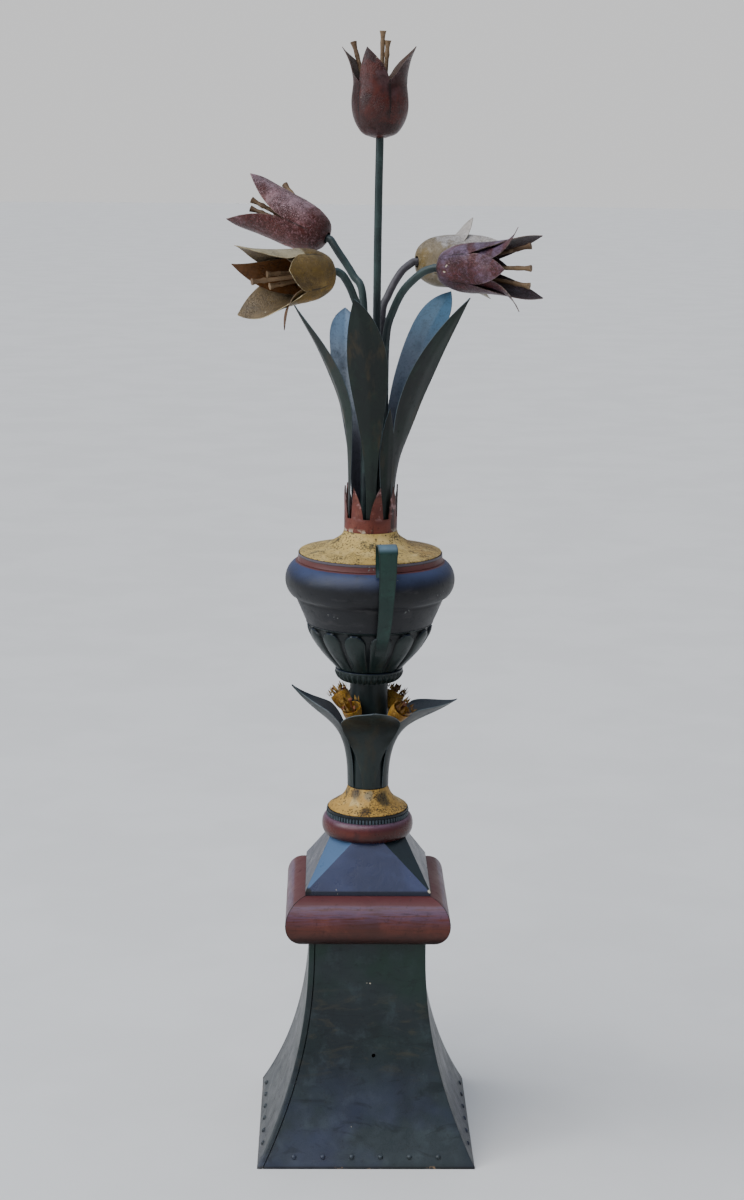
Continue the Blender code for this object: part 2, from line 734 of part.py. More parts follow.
# Long leaves: where the foot stands, the tip, how the blade draws out to it,
# the share of the full width, where it is widest, how blunt the tip is, and how
# far the blade turns its outer face round by its middle.  Heights here and for
# the tulips are counted from the bunch's foot.
BUNCH_LEAVES = {
    "long_leaf_front": dict(
        foot=(0.0040, -0.0302), rise=0.110, tip=(-0.0268, -0.0944, 0.3088),
        pull=(-0.0238, -0.0104, 0.0558), width=1.0, widest=0.64, blunt=1.8, turn=0.0,
        slot="leaf_green"),
    "long_leaf_left": dict(
        foot=(-0.0302, 0.0005), rise=0.115, tip=(-0.1046, 0.0023, 0.2934),
        pull=(-0.0496, 0.0000, 0.0604), width=0.90, widest=0.62, blunt=1.8, turn=36.0,
        slot="leaf_green"),
    "long_leaf_back_left": dict(
        foot=(-0.0178, 0.0245), rise=0.110, tip=(-0.0378, 0.0808, 0.2808),
        pull=(0.0042, 0.0288, 0.0728), width=0.85, widest=0.80, blunt=3.4, turn=-20.0,
        slot="leaf_blue"),
    "long_leaf_back_right": dict(
        foot=(0.0225, 0.0202), rise=0.110, tip=(0.1068, 0.0677, 0.3084),
        pull=(0.0468, 0.0197, 0.0704), width=0.95, widest=0.64, blunt=1.8, turn=0.0,
        slot="leaf_blue"),
    "long_leaf_right": dict(
        foot=(0.0302, -0.0010), rise=0.105, tip=(0.1288, -0.0028, 0.3048),
        pull=(0.0668, -0.0008, 0.0918), width=0.90, widest=0.62, blunt=1.8, turn=-38.0,
        slot="leaf_green"),
    "long_leaf_small": dict(
        foot=(0.0202, -0.0225), rise=0.055, tip=(0.0232, -0.0370, 0.1611),
        pull=(0.0020, -0.0080, 0.0480), width=0.42, widest=0.60, blunt=1.8, turn=0.0,
        slot="leaf_green"),
}


def above_foot(point):
    """A point of the bunch, its height counted from the bunch's foot."""
    return Vector(point) + Vector((0.0, 0.0, BUNCH_FOOT_Z))


def bunch_leaves():
    for name, leaf in BUNCH_LEAVES.items():
        foot = Vector((*leaf["foot"], BUNCH_FOOT_Z))
        tip = above_foot(leaf["tip"])
        hold = foot + Vector((0.0, 0.0, leaf["rise"]))
        spine = bezier(foot, hold, tip - Vector(leaf["pull"]), tip, BUNCH_LEAF_STATIONS)
        out = Vector((*leaf["foot"], 0.0)).normalized()
        away = Vector((tip.x, tip.y, 0.0)).normalized()
        outward = []
        widths = []
        wraps = []
        widest = BUNCH_LEAF_HALF_WIDTH * leaf["width"]
        base = min(BUNCH_LEAF_BASE_HALF, 0.62 * widest)
        for j in range(len(spine)):
            s = j / (len(spine) - 1)
            turn = Matrix.Rotation(math.radians(leaf["turn"]) * ease(s / 0.5), 3, "Z")
            outward.append(turn @ (out.lerp(away, ease(s))).normalized())
            widths.append(blade_width(s, base, widest, leaf["widest"], leaf["blunt"]))
            wraps.append((0.0302, ease((s - 0.05) / 0.35)))
        blade(name, leaf["slot"], spine, outward, widths, wraps, BUNCH_LEAF_CUP, 3)


def rod_mesh(centres, radii, sides, axis_hint):
    """Points and faces of a closed rod through the centres."""
    points = []
    last = len(centres) - 1
    for j, middle in enumerate(centres):
        along = (centres[min(j + 1, last)] - centres[max(j - 1, 0)]).normalized()
        first = (axis_hint - along * axis_hint.dot(along)).normalized()
        second = along.cross(first)
        for i in range(sides):
            a = math.tau * i / sides
            points.append(middle + (first * math.cos(a) + second * math.sin(a)) * radii[j])
    faces = [tuple(range(sides - 1, -1, -1))]
    for j in range(last):
        for i in range(sides):
            a = j * sides
            nxt = (i + 1) % sides
            faces.append((a + i, a + nxt, a + sides + nxt, a + sides + i))
    faces.append(tuple(range(last * sides, (last + 1) * sides)))
    return points, faces


# Petals: reach as a share of the length, radius of the tip, twist in degrees,
# and share of the full width.
TULIPS = {
    "top": dict(
        base=(0.0066, -0.0001, 0.5115), heart=(0.0058, -0.0001, 0.6277),
        roll=-15.0, inner_roll=40.0, notch=0.58, slot="tulip_red",
        stalk=((0.0055, 0.0, 0.0), (0.0053, 0.0, 0.3008), (0.0058, 0.0, 0.4313)),
        outer=((0.99, 0.0330, -20.0, 1.0), (1.00, 0.0470, -8.0, 1.0), (0.99, 0.0490, 28.0, 1.0)),
        inner=((0.62, 0.0270, 0.0, 1.0), (0.62, 0.0270, 0.0, 1.0), (0.62, 0.0270, 0.0, 1.0)),
        stamens=((55.0, 0.0120, 1.060), (25.0, 0.0080, 1.165), (-125.0, 0.0370, 1.050))),
    "left_rear": dict(
        base=(-0.0616, 0.0614, 0.3785), heart=(-0.1798, 0.1140, 0.4313),
        roll=60.0, inner_roll=60.0, notch=0.36, slot="tulip_rose",
        stalk=(
            (-0.0085, 0.0105, 0.0), (-0.0095, 0.0130, 0.1780),
            (-0.0127, 0.0353, 0.3006), (-0.0263, 0.0456, 0.3304), (-0.0480, 0.0545, 0.3630)),
        outer=((0.94, 0.0390, 0.0, 1.0), (1.00, 0.0400, 0.0, 1.0), (0.98, 0.0400, 0.0, 1.0)),
        inner=((0.80, 0.0330, 0.0, 1.0), (0.80, 0.0330, 0.0, 1.0), (0.80, 0.0330, 0.0, 1.0)),
        stamens=((120.0, 0.0390, 0.670), (10.0, 0.0150, 0.830), (-35.0, 0.0150, 0.810))),
    "left_front": dict(
        base=(-0.0532, -0.0589, 0.3407), heart=(-0.1700, -0.1063, 0.3290),
        roll=0.0, inner_roll=60.0, notch=0.34, slot="tulip_ochre",
        stalk=(
            (-0.0090, -0.0085, 0.0), (-0.0100, -0.0100, 0.1780),
            (-0.0185, -0.0330, 0.2780), (-0.0274, -0.0444, 0.3116), (-0.0390, -0.0530, 0.3340)),
        outer=((0.60, 0.0430, 0.0, 1.0), (0.98, 0.0360, 0.0, 1.0), (0.97, 0.0580, -14.0, 1.0)),
        inner=((1.06, 0.0440, 12.0, 1.0), (0.86, 0.0330, 0.0, 1.0), (0.66, 0.0720, -2.0, 0.34)),
        stamens=((0.0, 0.0070, 0.910), (140.0, 0.0100, 0.700), (-100.0, 0.0090, 0.700))),
    "right_rear": dict(
        base=(0.0600, 0.0587, 0.3480), heart=(0.1700, 0.0962, 0.3490),
        roll=-30.0, inner_roll=-90.0, notch=0.40, slot="tulip_grey",
        stalk=(
            (0.0160, 0.0110, 0.0), (0.0150, 0.0160, 0.1780),
            (0.0115, 0.0298, 0.2866), (0.0208, 0.0396, 0.3086), (0.0369, 0.0492, 0.3361)),
        outer=((0.96, 0.0440, -3.0, 1.0), (0.90, 0.0400, 0.0, 1.0), (0.94, 0.0400, 0.0, 1.0)),
        inner=((0.64, 0.0580, 0.0, 0.30), (0.80, 0.0330, 0.0, 1.0), (0.80, 0.0330, 0.0, 1.0)),
        stamens=((90.0, 0.0150, 0.850), (-30.0, 0.0100, 0.840), (-150.0, 0.0100, 0.820))),
    "right_front": dict(
        base=(0.0831, -0.0618, 0.3474), heart=(0.2060, -0.1146, 0.3517),
        roll=0.0, inner_roll=60.0, notch=0.34, slot="tulip_purple",
        stalk=(
            (0.0180, -0.0075, 0.0), (0.0165, -0.0080, 0.1780),
            (0.0167, -0.0204, 0.2749), (0.0270, -0.0306, 0.2994),
            (0.0418, -0.0459, 0.3240), (0.0640, -0.0560, 0.3420)),
        outer=((0.80, 0.0520, 0.0, 1.0), (1.01, 0.0450, 0.0, 1.0), (1.01, 0.0450, 0.0, 1.0)),
        inner=((0.86, 0.0620, 0.0, 0.70), (0.84, 0.0330, 0.0, 1.0), (0.86, 0.0620, 0.0, 0.70)),
        stamens=((90.0, 0.0230, 0.925), (0.0, 0.0080, 0.960), (-100.0, 0.0280, 0.930))),
}


def trefoil(name, slot, base, axis, roll_deg, start, belly, length, notch, tips, per_petal, bend):
    """A cup that splits into three pointed petals above the notch."""
    u, v = frame_of(axis, roll_deg)
    hole = TULIP_HOLE
    cup = [
        (hole, 0.0),
        (hole + (belly - hole) * 0.52, 0.055 * length),
        (hole + (belly - hole) * 0.88, 0.20 * length),
    ]
    if notch > 0.45:
        cup += [(belly, 0.37 * length), (0.94 * belly, notch * length)]
    else:
        cup += [(belly, notch * length)]

    def place(radius, along, angle_deg):
        a = math.radians(angle_deg)
        spread = (u * math.cos(a) + v * math.sin(a)) * radius
        return base + axis * (start + along) + spread

    around = 3 * per_petal
    points = []
    for radius, along in cup:
        points += [place(radius, along, -60.0 + 360.0 * i / around) for i in range(around)]
    faces = []
    for j in range(len(cup) - 1):
        for i in range(around):
            a = j * around
            nxt = (i + 1) % around
            faces.append((a + i, a + nxt, a + around + nxt, a + around + i))
    rim = (len(cup) - 1) * around
    neck = cup[-1][0]
    for k, (reach, spread, twist, width) in enumerate(tips):
        below = [rim + (k * per_petal + i) % around for i in range(per_petal + 1)]
        for share, half in ((0.35, 47.0), (0.70, 25.0)):
            along = (notch + (reach - notch) * share) * length
            radius = neck + (spread - neck) * share**bend
            row = []
            for i in range(per_petal + 1):
                row.append(len(points))
                side = half * width * (2.0 * i / per_petal - 1.0)
                angle = 120.0 * k + twist * share**2 + side
                points.append(place(radius, along, angle))
            faces += [
                (below[i], below[i + 1], row[i + 1], row[i]) for i in range(per_petal)
            ]
            below = row
        points.append(place(spread, reach * length, 120.0 * k + twist))
        tip = len(points) - 1
        faces += [(below[i], below[i + 1], tip) for i in range(per_petal)]
    thicken(add_mesh(name, slot, points, faces))


def tulips():
    for name, tulip in TULIPS.items():
        base = above_foot(tulip["base"])
        heart = above_foot(tulip["heart"])
        axis = (heart - base).normalized()
        length = max((heart - base).length, TULIP_LENGTH * 0.95)
        trefoil(
            "tulip_" + name + "_outer", tulip["slot"], base, axis, tulip["roll"],
            0.0, TULIP_BELLY, length, tulip["notch"], tulip["outer"], 3, 2.0)
        trefoil(
            "tulip_" + name + "_inner", tulip["slot"], base, axis, tulip["inner_roll"],
            TULIP_INNER_GAP, TULIP_BELLY - 1.35 * TULIP_INNER_GAP, length,
            0.8 * tulip["notch"], tulip["inner"], 2, 4.0)
        stamens(name, tulip, base, axis, length)
        stalk = [above_foot(p) for p in tulip["stalk"]]
        centres = smooth_through(stalk + [base - axis * 0.006], 2)
        centres = centres[:-1] + [base - axis * 0.006, base + axis * 0.003]
        hint = Vector((0.0, 1.0, 0.0))
        if abs(axis.y) > 0.9:
            hint = Vector((1.0, 0.0, 0.0))
        points, faces = rod_mesh(centres, [ROD_RADIUS] * len(centres), ROD_SIDES, hint)
        add_mesh("flower_stem_" + name, "stem_green", points, faces)


def stamens(name, tulip, base, axis, length):
    u, v = frame_of(axis, 0.0)
    low = 0.003 + 2 * FIT_GAP
    high = low + 0.0060
    centres = [base + axis * low, base + axis * high]
    points, faces = rod_mesh(centres, [STAMEN_HUB_RADIUS] * 2, 8, u)
    hub = add_mesh("tulip_" + name + "_stamens", "stamen_buff", points, faces)
    for i, (angle, spread, reach) in enumerate(tulip["stamens"]):
        a = math.radians(angle)
        out = u * math.cos(a) + v * math.sin(a)
        third = math.radians(120.0 * i + tulip["stamens"][0][0])
        start = u * math.cos(third) + v * math.sin(third)
        foot = base + axis * (low + 0.0020) + start * 0.0026
        head = base + axis * (reach * length) + out * spread
        run = (head - foot).normalized()
        centres = [foot, head - run * 0.0080, head]
        radii = [STAMEN_RADIUS, STAMEN_RADIUS, STAMEN_HEAD_RADIUS]
        points, faces = rod_mesh(centres, radii, STAMEN_SIDES, u)
        combine(hub, add_cutter("stamen_" + name + str(i), points, faces), "UNION")


clear_scene()
PARTS = collection(FINAL_NAME)
CUTTERS = collection(FINAL_NAME + "_cutters")
base_panels()
moulding_strips()
broach()
round_pieces()
urn()
collar()
handles()
stem_leaves()
florets()
bunch_leaves()
tulips()
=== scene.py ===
"""The looks of a painted sheet-metal roof finial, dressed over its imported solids.

Metres, +Z up, the ground plane at the pedestal's underside, and the side that
the photograph shows towards -Y.  Every size is the one that the part is made to.
"""

import math

import bpy
from mathutils import Matrix, Vector, noise


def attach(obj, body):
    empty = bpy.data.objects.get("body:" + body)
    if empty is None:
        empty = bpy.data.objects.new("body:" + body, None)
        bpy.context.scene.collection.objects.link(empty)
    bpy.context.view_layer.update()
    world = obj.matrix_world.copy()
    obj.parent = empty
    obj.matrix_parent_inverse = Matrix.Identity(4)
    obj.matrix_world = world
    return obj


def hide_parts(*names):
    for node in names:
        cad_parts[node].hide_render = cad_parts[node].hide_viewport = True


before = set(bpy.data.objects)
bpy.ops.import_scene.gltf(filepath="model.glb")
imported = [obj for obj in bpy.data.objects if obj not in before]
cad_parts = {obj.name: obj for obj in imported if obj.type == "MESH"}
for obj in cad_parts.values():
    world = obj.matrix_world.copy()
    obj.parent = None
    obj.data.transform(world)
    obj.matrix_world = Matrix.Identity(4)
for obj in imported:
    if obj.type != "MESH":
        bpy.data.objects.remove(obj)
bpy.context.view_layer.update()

# Sheet and clearances.
SHEET = 0.0010
GAP = 0.0003

# Pedestal.
BASE_HALF = 0.150
NECK_HALF = 0.0803
PEDESTAL_RISE = 0.300
FLARE_POWER = 2.3
FLANGE = 0.0070
HEM = 0.0100
FOLD_RADIUS = 0.0012
NAIL_HOLE = (0.0099, 0.1427)
NAIL_HOLE_RADIUS = 0.00275
RIVETS_PER_SIDE = 6
RIVET_PITCH = 0.0396
RIVET_Z = 0.0142
RIVET_RADIUS = 0.0036
RIVET_HEIGHT = 0.0026
PANEL_ROWS = 44
PANEL_COLUMNS = 22
PANEL_SWAY = 0.0006

# Square moulding and broach.
MOULDING_SEAT_Z = 0.302
MOULDING_HEIGHT = 0.069
MOULDING_REACH = 0.0322
MOULDING_SPAN_DEG = 80.0
MOULDING_SWAY = 0.0004
BROACH_HALF = 0.0855
BROACH_LIP = 0.0052
BROACH_TOP_Z = 0.4362
APOTHEM = 0.0520

# Round moulding, notched band, skirt and stem.
RING_RADIUS = 0.0633
RING_EDGE_RADIUS = 0.0570
RING_HEIGHT = 0.0262
RING_BORE = 0.0480
BAND_RADIUS = 0.0562
BAND_FOOT_Z = BROACH_TOP_Z + RING_HEIGHT + 2 * GAP
BAND_HEIGHT = 0.0104
BAND_STEP = 0.0011
BAND_COLLAR = 0.0038
BAND_EDGE = 0.0004
NOTCHES = 78
TAB_SIZE = (0.0030, 0.0026, 0.0062)
TAB_RISE = 0.0030
SKIRT_FOOT_Z = BAND_FOOT_Z + BAND_HEIGHT + GAP
SKIRT_RADIUS = 0.0548
SKIRT_HEIGHT = 0.0305
SKIRT_LINE = ((0.0280, 1.00), (0.0300, 0.80), (0.0330, 0.60))
SKIRT_BREAK = (0.0380, 0.0120)
SKIRT_HEM = 0.0012
STEM_RADIUS = 0.0260
STEM_FOOT_Z = 0.488
STEM_TOP_Z = 0.666
STEM_LEAF_FOOT_Z = 0.5055

# Crimped band, cup, urn, shoulder and collar.
CRIMP_FOOT = (0.0400, 0.6565)
CRIMP_TOP = (0.0464, 0.6727)
CRIMPS = 36
CRIMP_DEPTH = 0.0014
CRIMP_STEPS = 10
CUP_FOOT = (0.0465, 0.6730)
CUP_RIM = (0.0868, 0.7376)
TONGUES = 14
TONGUE_TURN_DEG = -15.5
TONGUE_DEPTH = 0.0048
BOWL_FOOT = (0.0864, 0.7379)
PINCH = (0.0995, 0.7695)
BULGE = (0.1154, 0.7965)
BULGE_DEPTH = 0.0234
BULGE_HALF_HEIGHT = 0.0270
BOWL_RIM = (0.0978, 0.8330)
SHOULDER_TOP = (0.0364, 0.8636)
SHOULDER_BEND = (0.0440, 0.8526)
SHOULDER_BREAK = (0.0578, 0.8440)
SHOULDER_RIM = 0.0964
COLLAR_RADIUS = 0.0359
COLLAR_FOOT_Z = SHOULDER_TOP[1] + GAP
COLLAR_BAND = 0.0184
COLLAR_TEETH = 8
TOOTH_RISE = 0.0430
TOOTH_SHARE = 0.33
TOOTH_LEAN_DEG = 9.0
COLLAR_TURN_DEG = 12.0

# Handles.
STRAP = 0.0012
HANDLE_AZIMUTH_DEG = -80.4
HANDLE_OUTER = 0.1262
HANDLE_INNER = 0.1052
HANDLE_TOP_Z = 0.8630
HANDLE_HOOK_Z = 0.8190
HANDLE_FOOT = ((0.0812, 0.7125), (0.0772, 0.7050))
STRAP_HALF_TOP = 0.0130
STRAP_HALF_FOOT = 0.0066

# Bunch.
BUNCH_FOOT_Z = 0.8720
BUNCH_LEAF_HALF = 0.0275
BUNCH_FOOT_HALF = 0.0098
BUNCH_WRAP_RADIUS = 0.0302
ROD_RADIUS = 0.0052
TULIP_BELLY = 0.0370
TULIP_HOLE = 0.0078
TULIP_LEAST_LENGTH = 0.1121
INNER_GAP = 0.0040
PETAL_SWAY = 0.0006
PETAL_RIB = 0.0007
PETAL_SEAM = 0.0010
HUB_FOOT, HUB_LENGTH, HUB_RADIUS = 0.0036, 0.0060, 0.0046
STAMEN_RADIUS, KNOB, FLARE = 0.0028, 0.0011, 0.0018

# Heights at which the paint changes.
URN_BAND = (0.8210, 0.8222, 0.8298, 0.8306)
URN_EDGE = (0.8303, 0.8312)
MOULDING_SHELF = (0.3605, 0.3640)
MOULDING_SHEEN = (0.330, 0.356)
MOULDING_SHADE = (0.332, 0.306)
BROACH_LIP_SHADE = (0.3790, 0.3765)
RING_SHADE = (0.4500, 0.4380)
COLLAR_WEAR = (0.8705, 0.8640)
COLLAR_RUB = (0.878, 0.890)
HANDLE_FOOT_DARKENING = (0.745, 0.708)

# How much deeper the paints are mixed than they look in the soft light.
SHADE_DEPTH = 1.20
GLOSS_LEVEL = 0.34

# Floor, the pale backdrop that meets it without a line, and the room that lights both.
FLOOR_COLOUR = (0.72, 0.715, 0.71, 1.0)
HORIZON_COLOUR = (0.84, 0.84, 0.845, 1.0)
DIM_ROOM = (0.14, 0.15, 0.17, 1.0)
PALE_CLOTH = (0.44, 0.44, 0.45, 1.0)
SKY = (0.72, 0.83, 1.0, 1.0)
ROOM_STRENGTH = 0.8
AIM = (0.0, 0.0, 0.7)

# The photograph's camera: its place, turn and lens.
CAMERA_PLACE = (-0.0612, -2.9380, 1.39255)
CAMERA_YAW = -0.02185
CAMERA_TILT_DEG = 77.962
CAMERA_ROLL = 0.01094
CAMERA_LENS = 66.045


def ease(x):
    x = min(max(x, 0.0), 1.0)
    return x * x * (3 - 2 * x)


def mix(a, b, share):
    return a + (b - a) * share


def polar(azimuth_deg, radius, z):
    a = math.radians(azimuth_deg)
    return Vector((radius * math.cos(a), radius * math.sin(a), z))


def spoke(u, v, angle):
    """The direction at an angle between u and v, which are square to each other."""
    return u * math.cos(angle) + v * math.sin(angle)


def turned(x, y, quarter):
    for _ in range(quarter):
        x, y = -y, x
    return x, y


def through(stations, per_span):
    """A smooth run of points through the stations, ends included."""
    points = [Vector(s) for s in stations]
    padded = [2 * points[0] - points[1], *points, 2 * points[-1] - points[-2]]
    made = []
    for i in range(1, len(padded) - 2):
        a, b, c, d = padded[i - 1:i + 3]
        for k in range(per_span):
            t = k / per_span
            bend = (2 * a - 5 * b + 4 * c - d) * t * t
            made.append(0.5 * (2 * b + (c - a) * t + bend + (3 * b - a - 3 * c + d) * t**3))
    made.append(points[-1])
    return made


def bezier(p0, p1, p2, p3, count):
    made = []
    for i in range(count):
        t = i / (count - 1)
        u = 1.0 - t
        made.append(p0 * u**3 + p1 * 3 * t * u * u + p2 * 3 * t * t * u + p3 * t**3)
    return made


# Meshes.

def grid(rows, columns, first=0):
    faces = []
    for j in range(rows - 1):
        for i in range(columns - 1):
            a = first + j * columns + i
            faces.append((a, a + 1, a + columns + 1, a + columns))
    return faces


def hoops(rows, around):
    """Faces of rows that close on themselves."""
    faces = []
    for j in range(rows - 1):
        for i in range(around):
            a, b = j * around + i, j * around + (i + 1) % around
            faces.append((a, b, b + around, a + around))
    return faces


def plain_mesh(name, points, faces=()):
    mesh = bpy.data.meshes.new(name)
    mesh.from_pydata([tuple(p) for p in points], [], faces)
    return mesh


def placed(name, data):
    made = bpy.data.objects.new(name, data)
    bpy.context.scene.collection.objects.link(made)
    return made


def point_normals(points, faces):
    normals = [Vector() for _ in points]
    for face in faces:
        corners = [points[i] for i in face]
        across = (corners[2] - corners[0]).cross(corners[-1] - corners[1])
        for i in face:
            normals[i] += across
    return [n.normalized() for n in normals]


def shell(points, faces, marks=None, wall=SHEET):
    """Both faces and the rim of a sheet, half its thickness to each side."""
    points = [Vector(p) for p in points]
    normals = point_normals(points, faces)
    count = len(points)
    both = [p + n * wall / 2 for p, n in zip(points, normals)]
    both += [p - n * wall / 2 for p, n in zip(points, normals)]
    sides = set()
    for face in faces:
        for i, a in enumerate(face):
            sides.add((a, face[(i + 1) % len(face)]))
    closed = list(faces) + [tuple(i + count for i in reversed(face)) for face in faces]
    closed += [(b, a, a + count, b + count) for a, b in sides if (b, a) not in sides]
    kept = {name: list(values) * 2 for name, values in (marks or {}).items()}
    kept["inner"] = [0.0] * count + [1.0] * count
    return both, closed, kept


def piece(name, mesh_parts, finish, nodes=(), sharp_deg=32.0):
    """Make a mesh, give it its finish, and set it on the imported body."""
    points, faces, marks = mesh_parts
    mesh = plain_mesh(name, points, faces)
    for label, values in marks.items():
        mark = mesh.attributes.new(label, "FLOAT", "POINT")
        mark.data.foreach_set("value", values)
    return settle(name, mesh, finish, nodes, sharp_deg)


def settle(name, mesh, finish, nodes=(), sharp_deg=32.0):
    mesh.validate()
    mesh.materials.clear()
    mesh.materials.append(finish)
    mesh.shade_smooth()
    mesh.set_sharp_from_angle(angle=math.radians(sharp_deg))
    made = placed(name, mesh)
    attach(made, "root")
    if nodes:
        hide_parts(*nodes)
    return made


def wall_loop(outer, wall):
    """Close an outer profile, given top to bottom, with its inner side."""
    inner = []
    last = len(outer) - 1
    for i, (r, z) in enumerate(outer):
        before = Vector(outer[i]) - Vector(outer[max(i - 1, 0)])
        after = Vector(outer[min(i + 1, last)]) - Vector(outer[i])
        units = [v.normalized() for v in (before, after) if v.length > 1e-9]
        normals = [Vector((u.y, -u.x)) for u in units]
        mean = sum(normals, Vector((0.0, 0.0))).normalized()
        stretch = wall / max(mean.dot(normals[0]), 0.45)
        inner.append((r + mean.x * stretch, z + mean.y * stretch))
    return [tuple(p) for p in outer] + inner[::-1]


def lathe(outer, steps, wall=SHEET, press=None):
    """A turned shell; press moves a point in or out by its angle and height."""
    loop = wall_loop(outer, wall)
    n = len(loop)
    points = []
    for k in range(steps):
        angle = 360.0 * k / steps
        for r, z in loop:
            push = press(angle, z) if press else 0.0
            points.append(polar(angle, r + push, z))
    faces = []
    for k in range(steps):
        here, there = k * n, (k + 1) % steps * n
        for i in range(n):
            j = (i + 1) % n
            faces.append((here + i, here + j, there + j, there + i))
    return points, faces, {}


def rod(centres, radii, sides, hint):
    """A closed round rod through the centres."""
    points = []
    last = len(centres) - 1
    for j, middle in enumerate(centres):
        along = (centres[min(j + 1, last)] - centres[max(j - 1, 0)]).normalized()
        first = (hint - along * hint.dot(along)).normalized()
        second = along.cross(first)
        for i in range(sides):
            a = math.tau * i / sides
            points.append(middle + spoke(first, second, a) * radii[j])
    ends = [tuple(range(sides - 1, -1, -1)), tuple(range(last * sides, (last + 1) * sides))]
    return points, [ends[0], *hoops(last + 1, sides), ends[1]], {}


def joined(*parts):
    points, faces, marks = [], [], {}
    for more, their_faces, their_marks in parts:
        first = len(points)
        points += more
        faces += [tuple(i + first for i in face) for face in their_faces]
        for label in set(marks) | set(their_marks):
            old = marks.get(label, [0.0] * first)
            marks[label] = old + list(their_marks.get(label, [0.0] * len(more)))
    return points, faces, marks


# Nodes, and shader sockets that take Python arithmetic.

def add_node(tree, kind, settings, values):
    """A node with its settings, then its values or links."""
    made = tree.nodes.new(kind)
    for key, value in (settings or {}).items():
        setattr(made, key, value)
    pairs = values.items() if isinstance(values, dict) else enumerate(values)
    for key, value in pairs:
        socket = value.socket if isinstance(value, Wire) else value
        if isinstance(socket, bpy.types.NodeSocket):
            tree.links.new(socket, made.inputs[key])
        else:
            made.inputs[key].default_value = value
    return made


class Wire:
    """One output socket; arithmetic on it adds Math nodes."""

    def __init__(self, paint, socket):
        self.paint = paint
        self.socket = socket

    def _math(self, operation, *values):
        return self.paint.node("ShaderNodeMath", {"operation": operation}, values)

    def __add__(self, other):
        return self._math("ADD", self, other)

    def __sub__(self, other):
        return self._math("SUBTRACT", self, other)

    def __rsub__(self, other):
        return self._math("SUBTRACT", other, self)

    def __mul__(self, other):
        return self._math("MULTIPLY", self, other)

    __radd__ = __add__
    __rmul__ = __mul__

    def rise(self, low, high):
        """A soft step from 0 at low to 1 at high, or the other way round."""
        flip = low > high
        low, high = min(low, high), max(low, high)
        step = self.paint.node(
            "ShaderNodeMapRange", {"interpolation_type": "SMOOTHSTEP"},
            {"Value": self, "From Min": low, "From Max": high})
        return 1 - step if flip else step

    def size(self):
        return self._math("ABSOLUTE", self)


class Paint:
    """A coat of paint under construction."""

    def __init__(self, name, world=None):
        self.material = world or bpy.data.materials.new(name)
        self.material.use_nodes = True
        self.tree = self.material.node_tree
        self.tree.nodes.clear()
        self.place = self.node("ShaderNodeTexCoord", out="Generated" if world else "Object")
        self.x, self.y, self.height = self.parts_of(self.place)

    def parts_of(self, vector):
        split = self.node("ShaderNodeSeparateXYZ", {}, [vector]).socket.node
        return [Wire(self, split.outputs[axis]) for axis in "XYZ"]

    def node(self, kind, settings=None, values=(), out=0):
        made = add_node(self.tree, kind, settings, values)
        return None if out is None else Wire(self, made.outputs[out])

    def over(self, under, cover, share):
        return self.node("ShaderNodeMix", {"data_type": "RGBA"}, {0: share, 6: under, 7: cover}, 2)

    def cloud(self, scale, detail=3.0, rough=0.55, stretch=None, warp=0.0, shift=0.0):
        where = self.place
        if stretch or shift:
            where = self.node(
                "ShaderNodeVectorMath", {"operation": "MULTIPLY_ADD"},
                [where, stretch or (1.0, 1.0, 1.0), (shift, shift * 0.7, shift * 1.3)])
        return self.node(
            "ShaderNodeTexNoise", {},
            {"Vector": where, "Scale": scale, "Detail": detail, "Roughness": rough,
             "Distortion": warp})

    def cells(self, scale, warp_scale=60.0, warp=0.012, feature="DISTANCE_TO_EDGE", shift=0.0):
        drift = self.node("ShaderNodeTexNoise", {}, {"Vector": self.place, "Scale": warp_scale}, 1)
        where = self.node(
            "ShaderNodeVectorMath", {"operation": "MULTIPLY_ADD"},
            [drift, (warp, warp, warp), self.place])
        if shift:
            where = self.node("ShaderNodeVectorMath", {}, [where, (shift, shift, shift)])
        return self.node(
            "ShaderNodeTexVoronoi", {"feature": feature}, {"Vector": where, "Scale": scale},
            "Distance")

    def mark(self, label):
        return self.node("ShaderNodeAttribute", {"attribute_name": label}, out="Fac")

    def facing(self):
        """The three parts of the surface's own direction."""
        return self.parts_of(self.node("ShaderNodeNewGeometry", out="Normal"))

    def near(self, spot, reach):
        """1 at a spot on the object, 0 past its reach, with a broken outline."""
        away = self.node("ShaderNodeVectorMath", {"operation": "DISTANCE"}, [self.place, spot],
                         "Value")
        ragged = away + (self.cloud(90.0, 4.0, 0.65, shift=spot[2]) - 0.5) * (reach * 1.1)
        return ragged.rise(reach, reach * 0.45)

    def finish(self, colour, roughness, relief, distance, strength):
        normal = self.node(
            "ShaderNodeBump", {}, {"Strength": strength, "Distance": distance, "Height": relief})
        shader = self.node(
            "ShaderNodeBsdfPrincipled", {},
            {"Base Color": colour, "Roughness": roughness, "Normal": normal,
             "Specular IOR Level": GLOSS_LEVEL})
        self.node("ShaderNodeOutputMaterial", {}, {"Surface": shader}, out=None)
        return self.material


def tone(red, green, blue):
    """A shade given as screen values from 0 to 255, for a shader."""
    def linear(v):
        v /= 255.0
        v = v / 12.92 if v <= 0.04045 else ((v + 0.055) / 1.055) ** 2.4
        return v ** SHADE_DEPTH
    return (linear(red), linear(green), linear(blue), 1.0)


CREAM = tone(205, 196, 176)
GRIME = tone(26, 25, 24)


def spots(p, scale, size, thinning, shift=0.0):
    """Scattered spots, 1 inside a spot; thinning near 0.7 leaves only a few."""
    dots = p.cells(scale, 200.0, 0.004, "F1", shift)
    return dots.rise(size, size * 0.6) * p.cloud(scale * 0.23, 2.0, 0.5, shift=shift + 3.1).rise(
        thinning, thinning + 0.05)


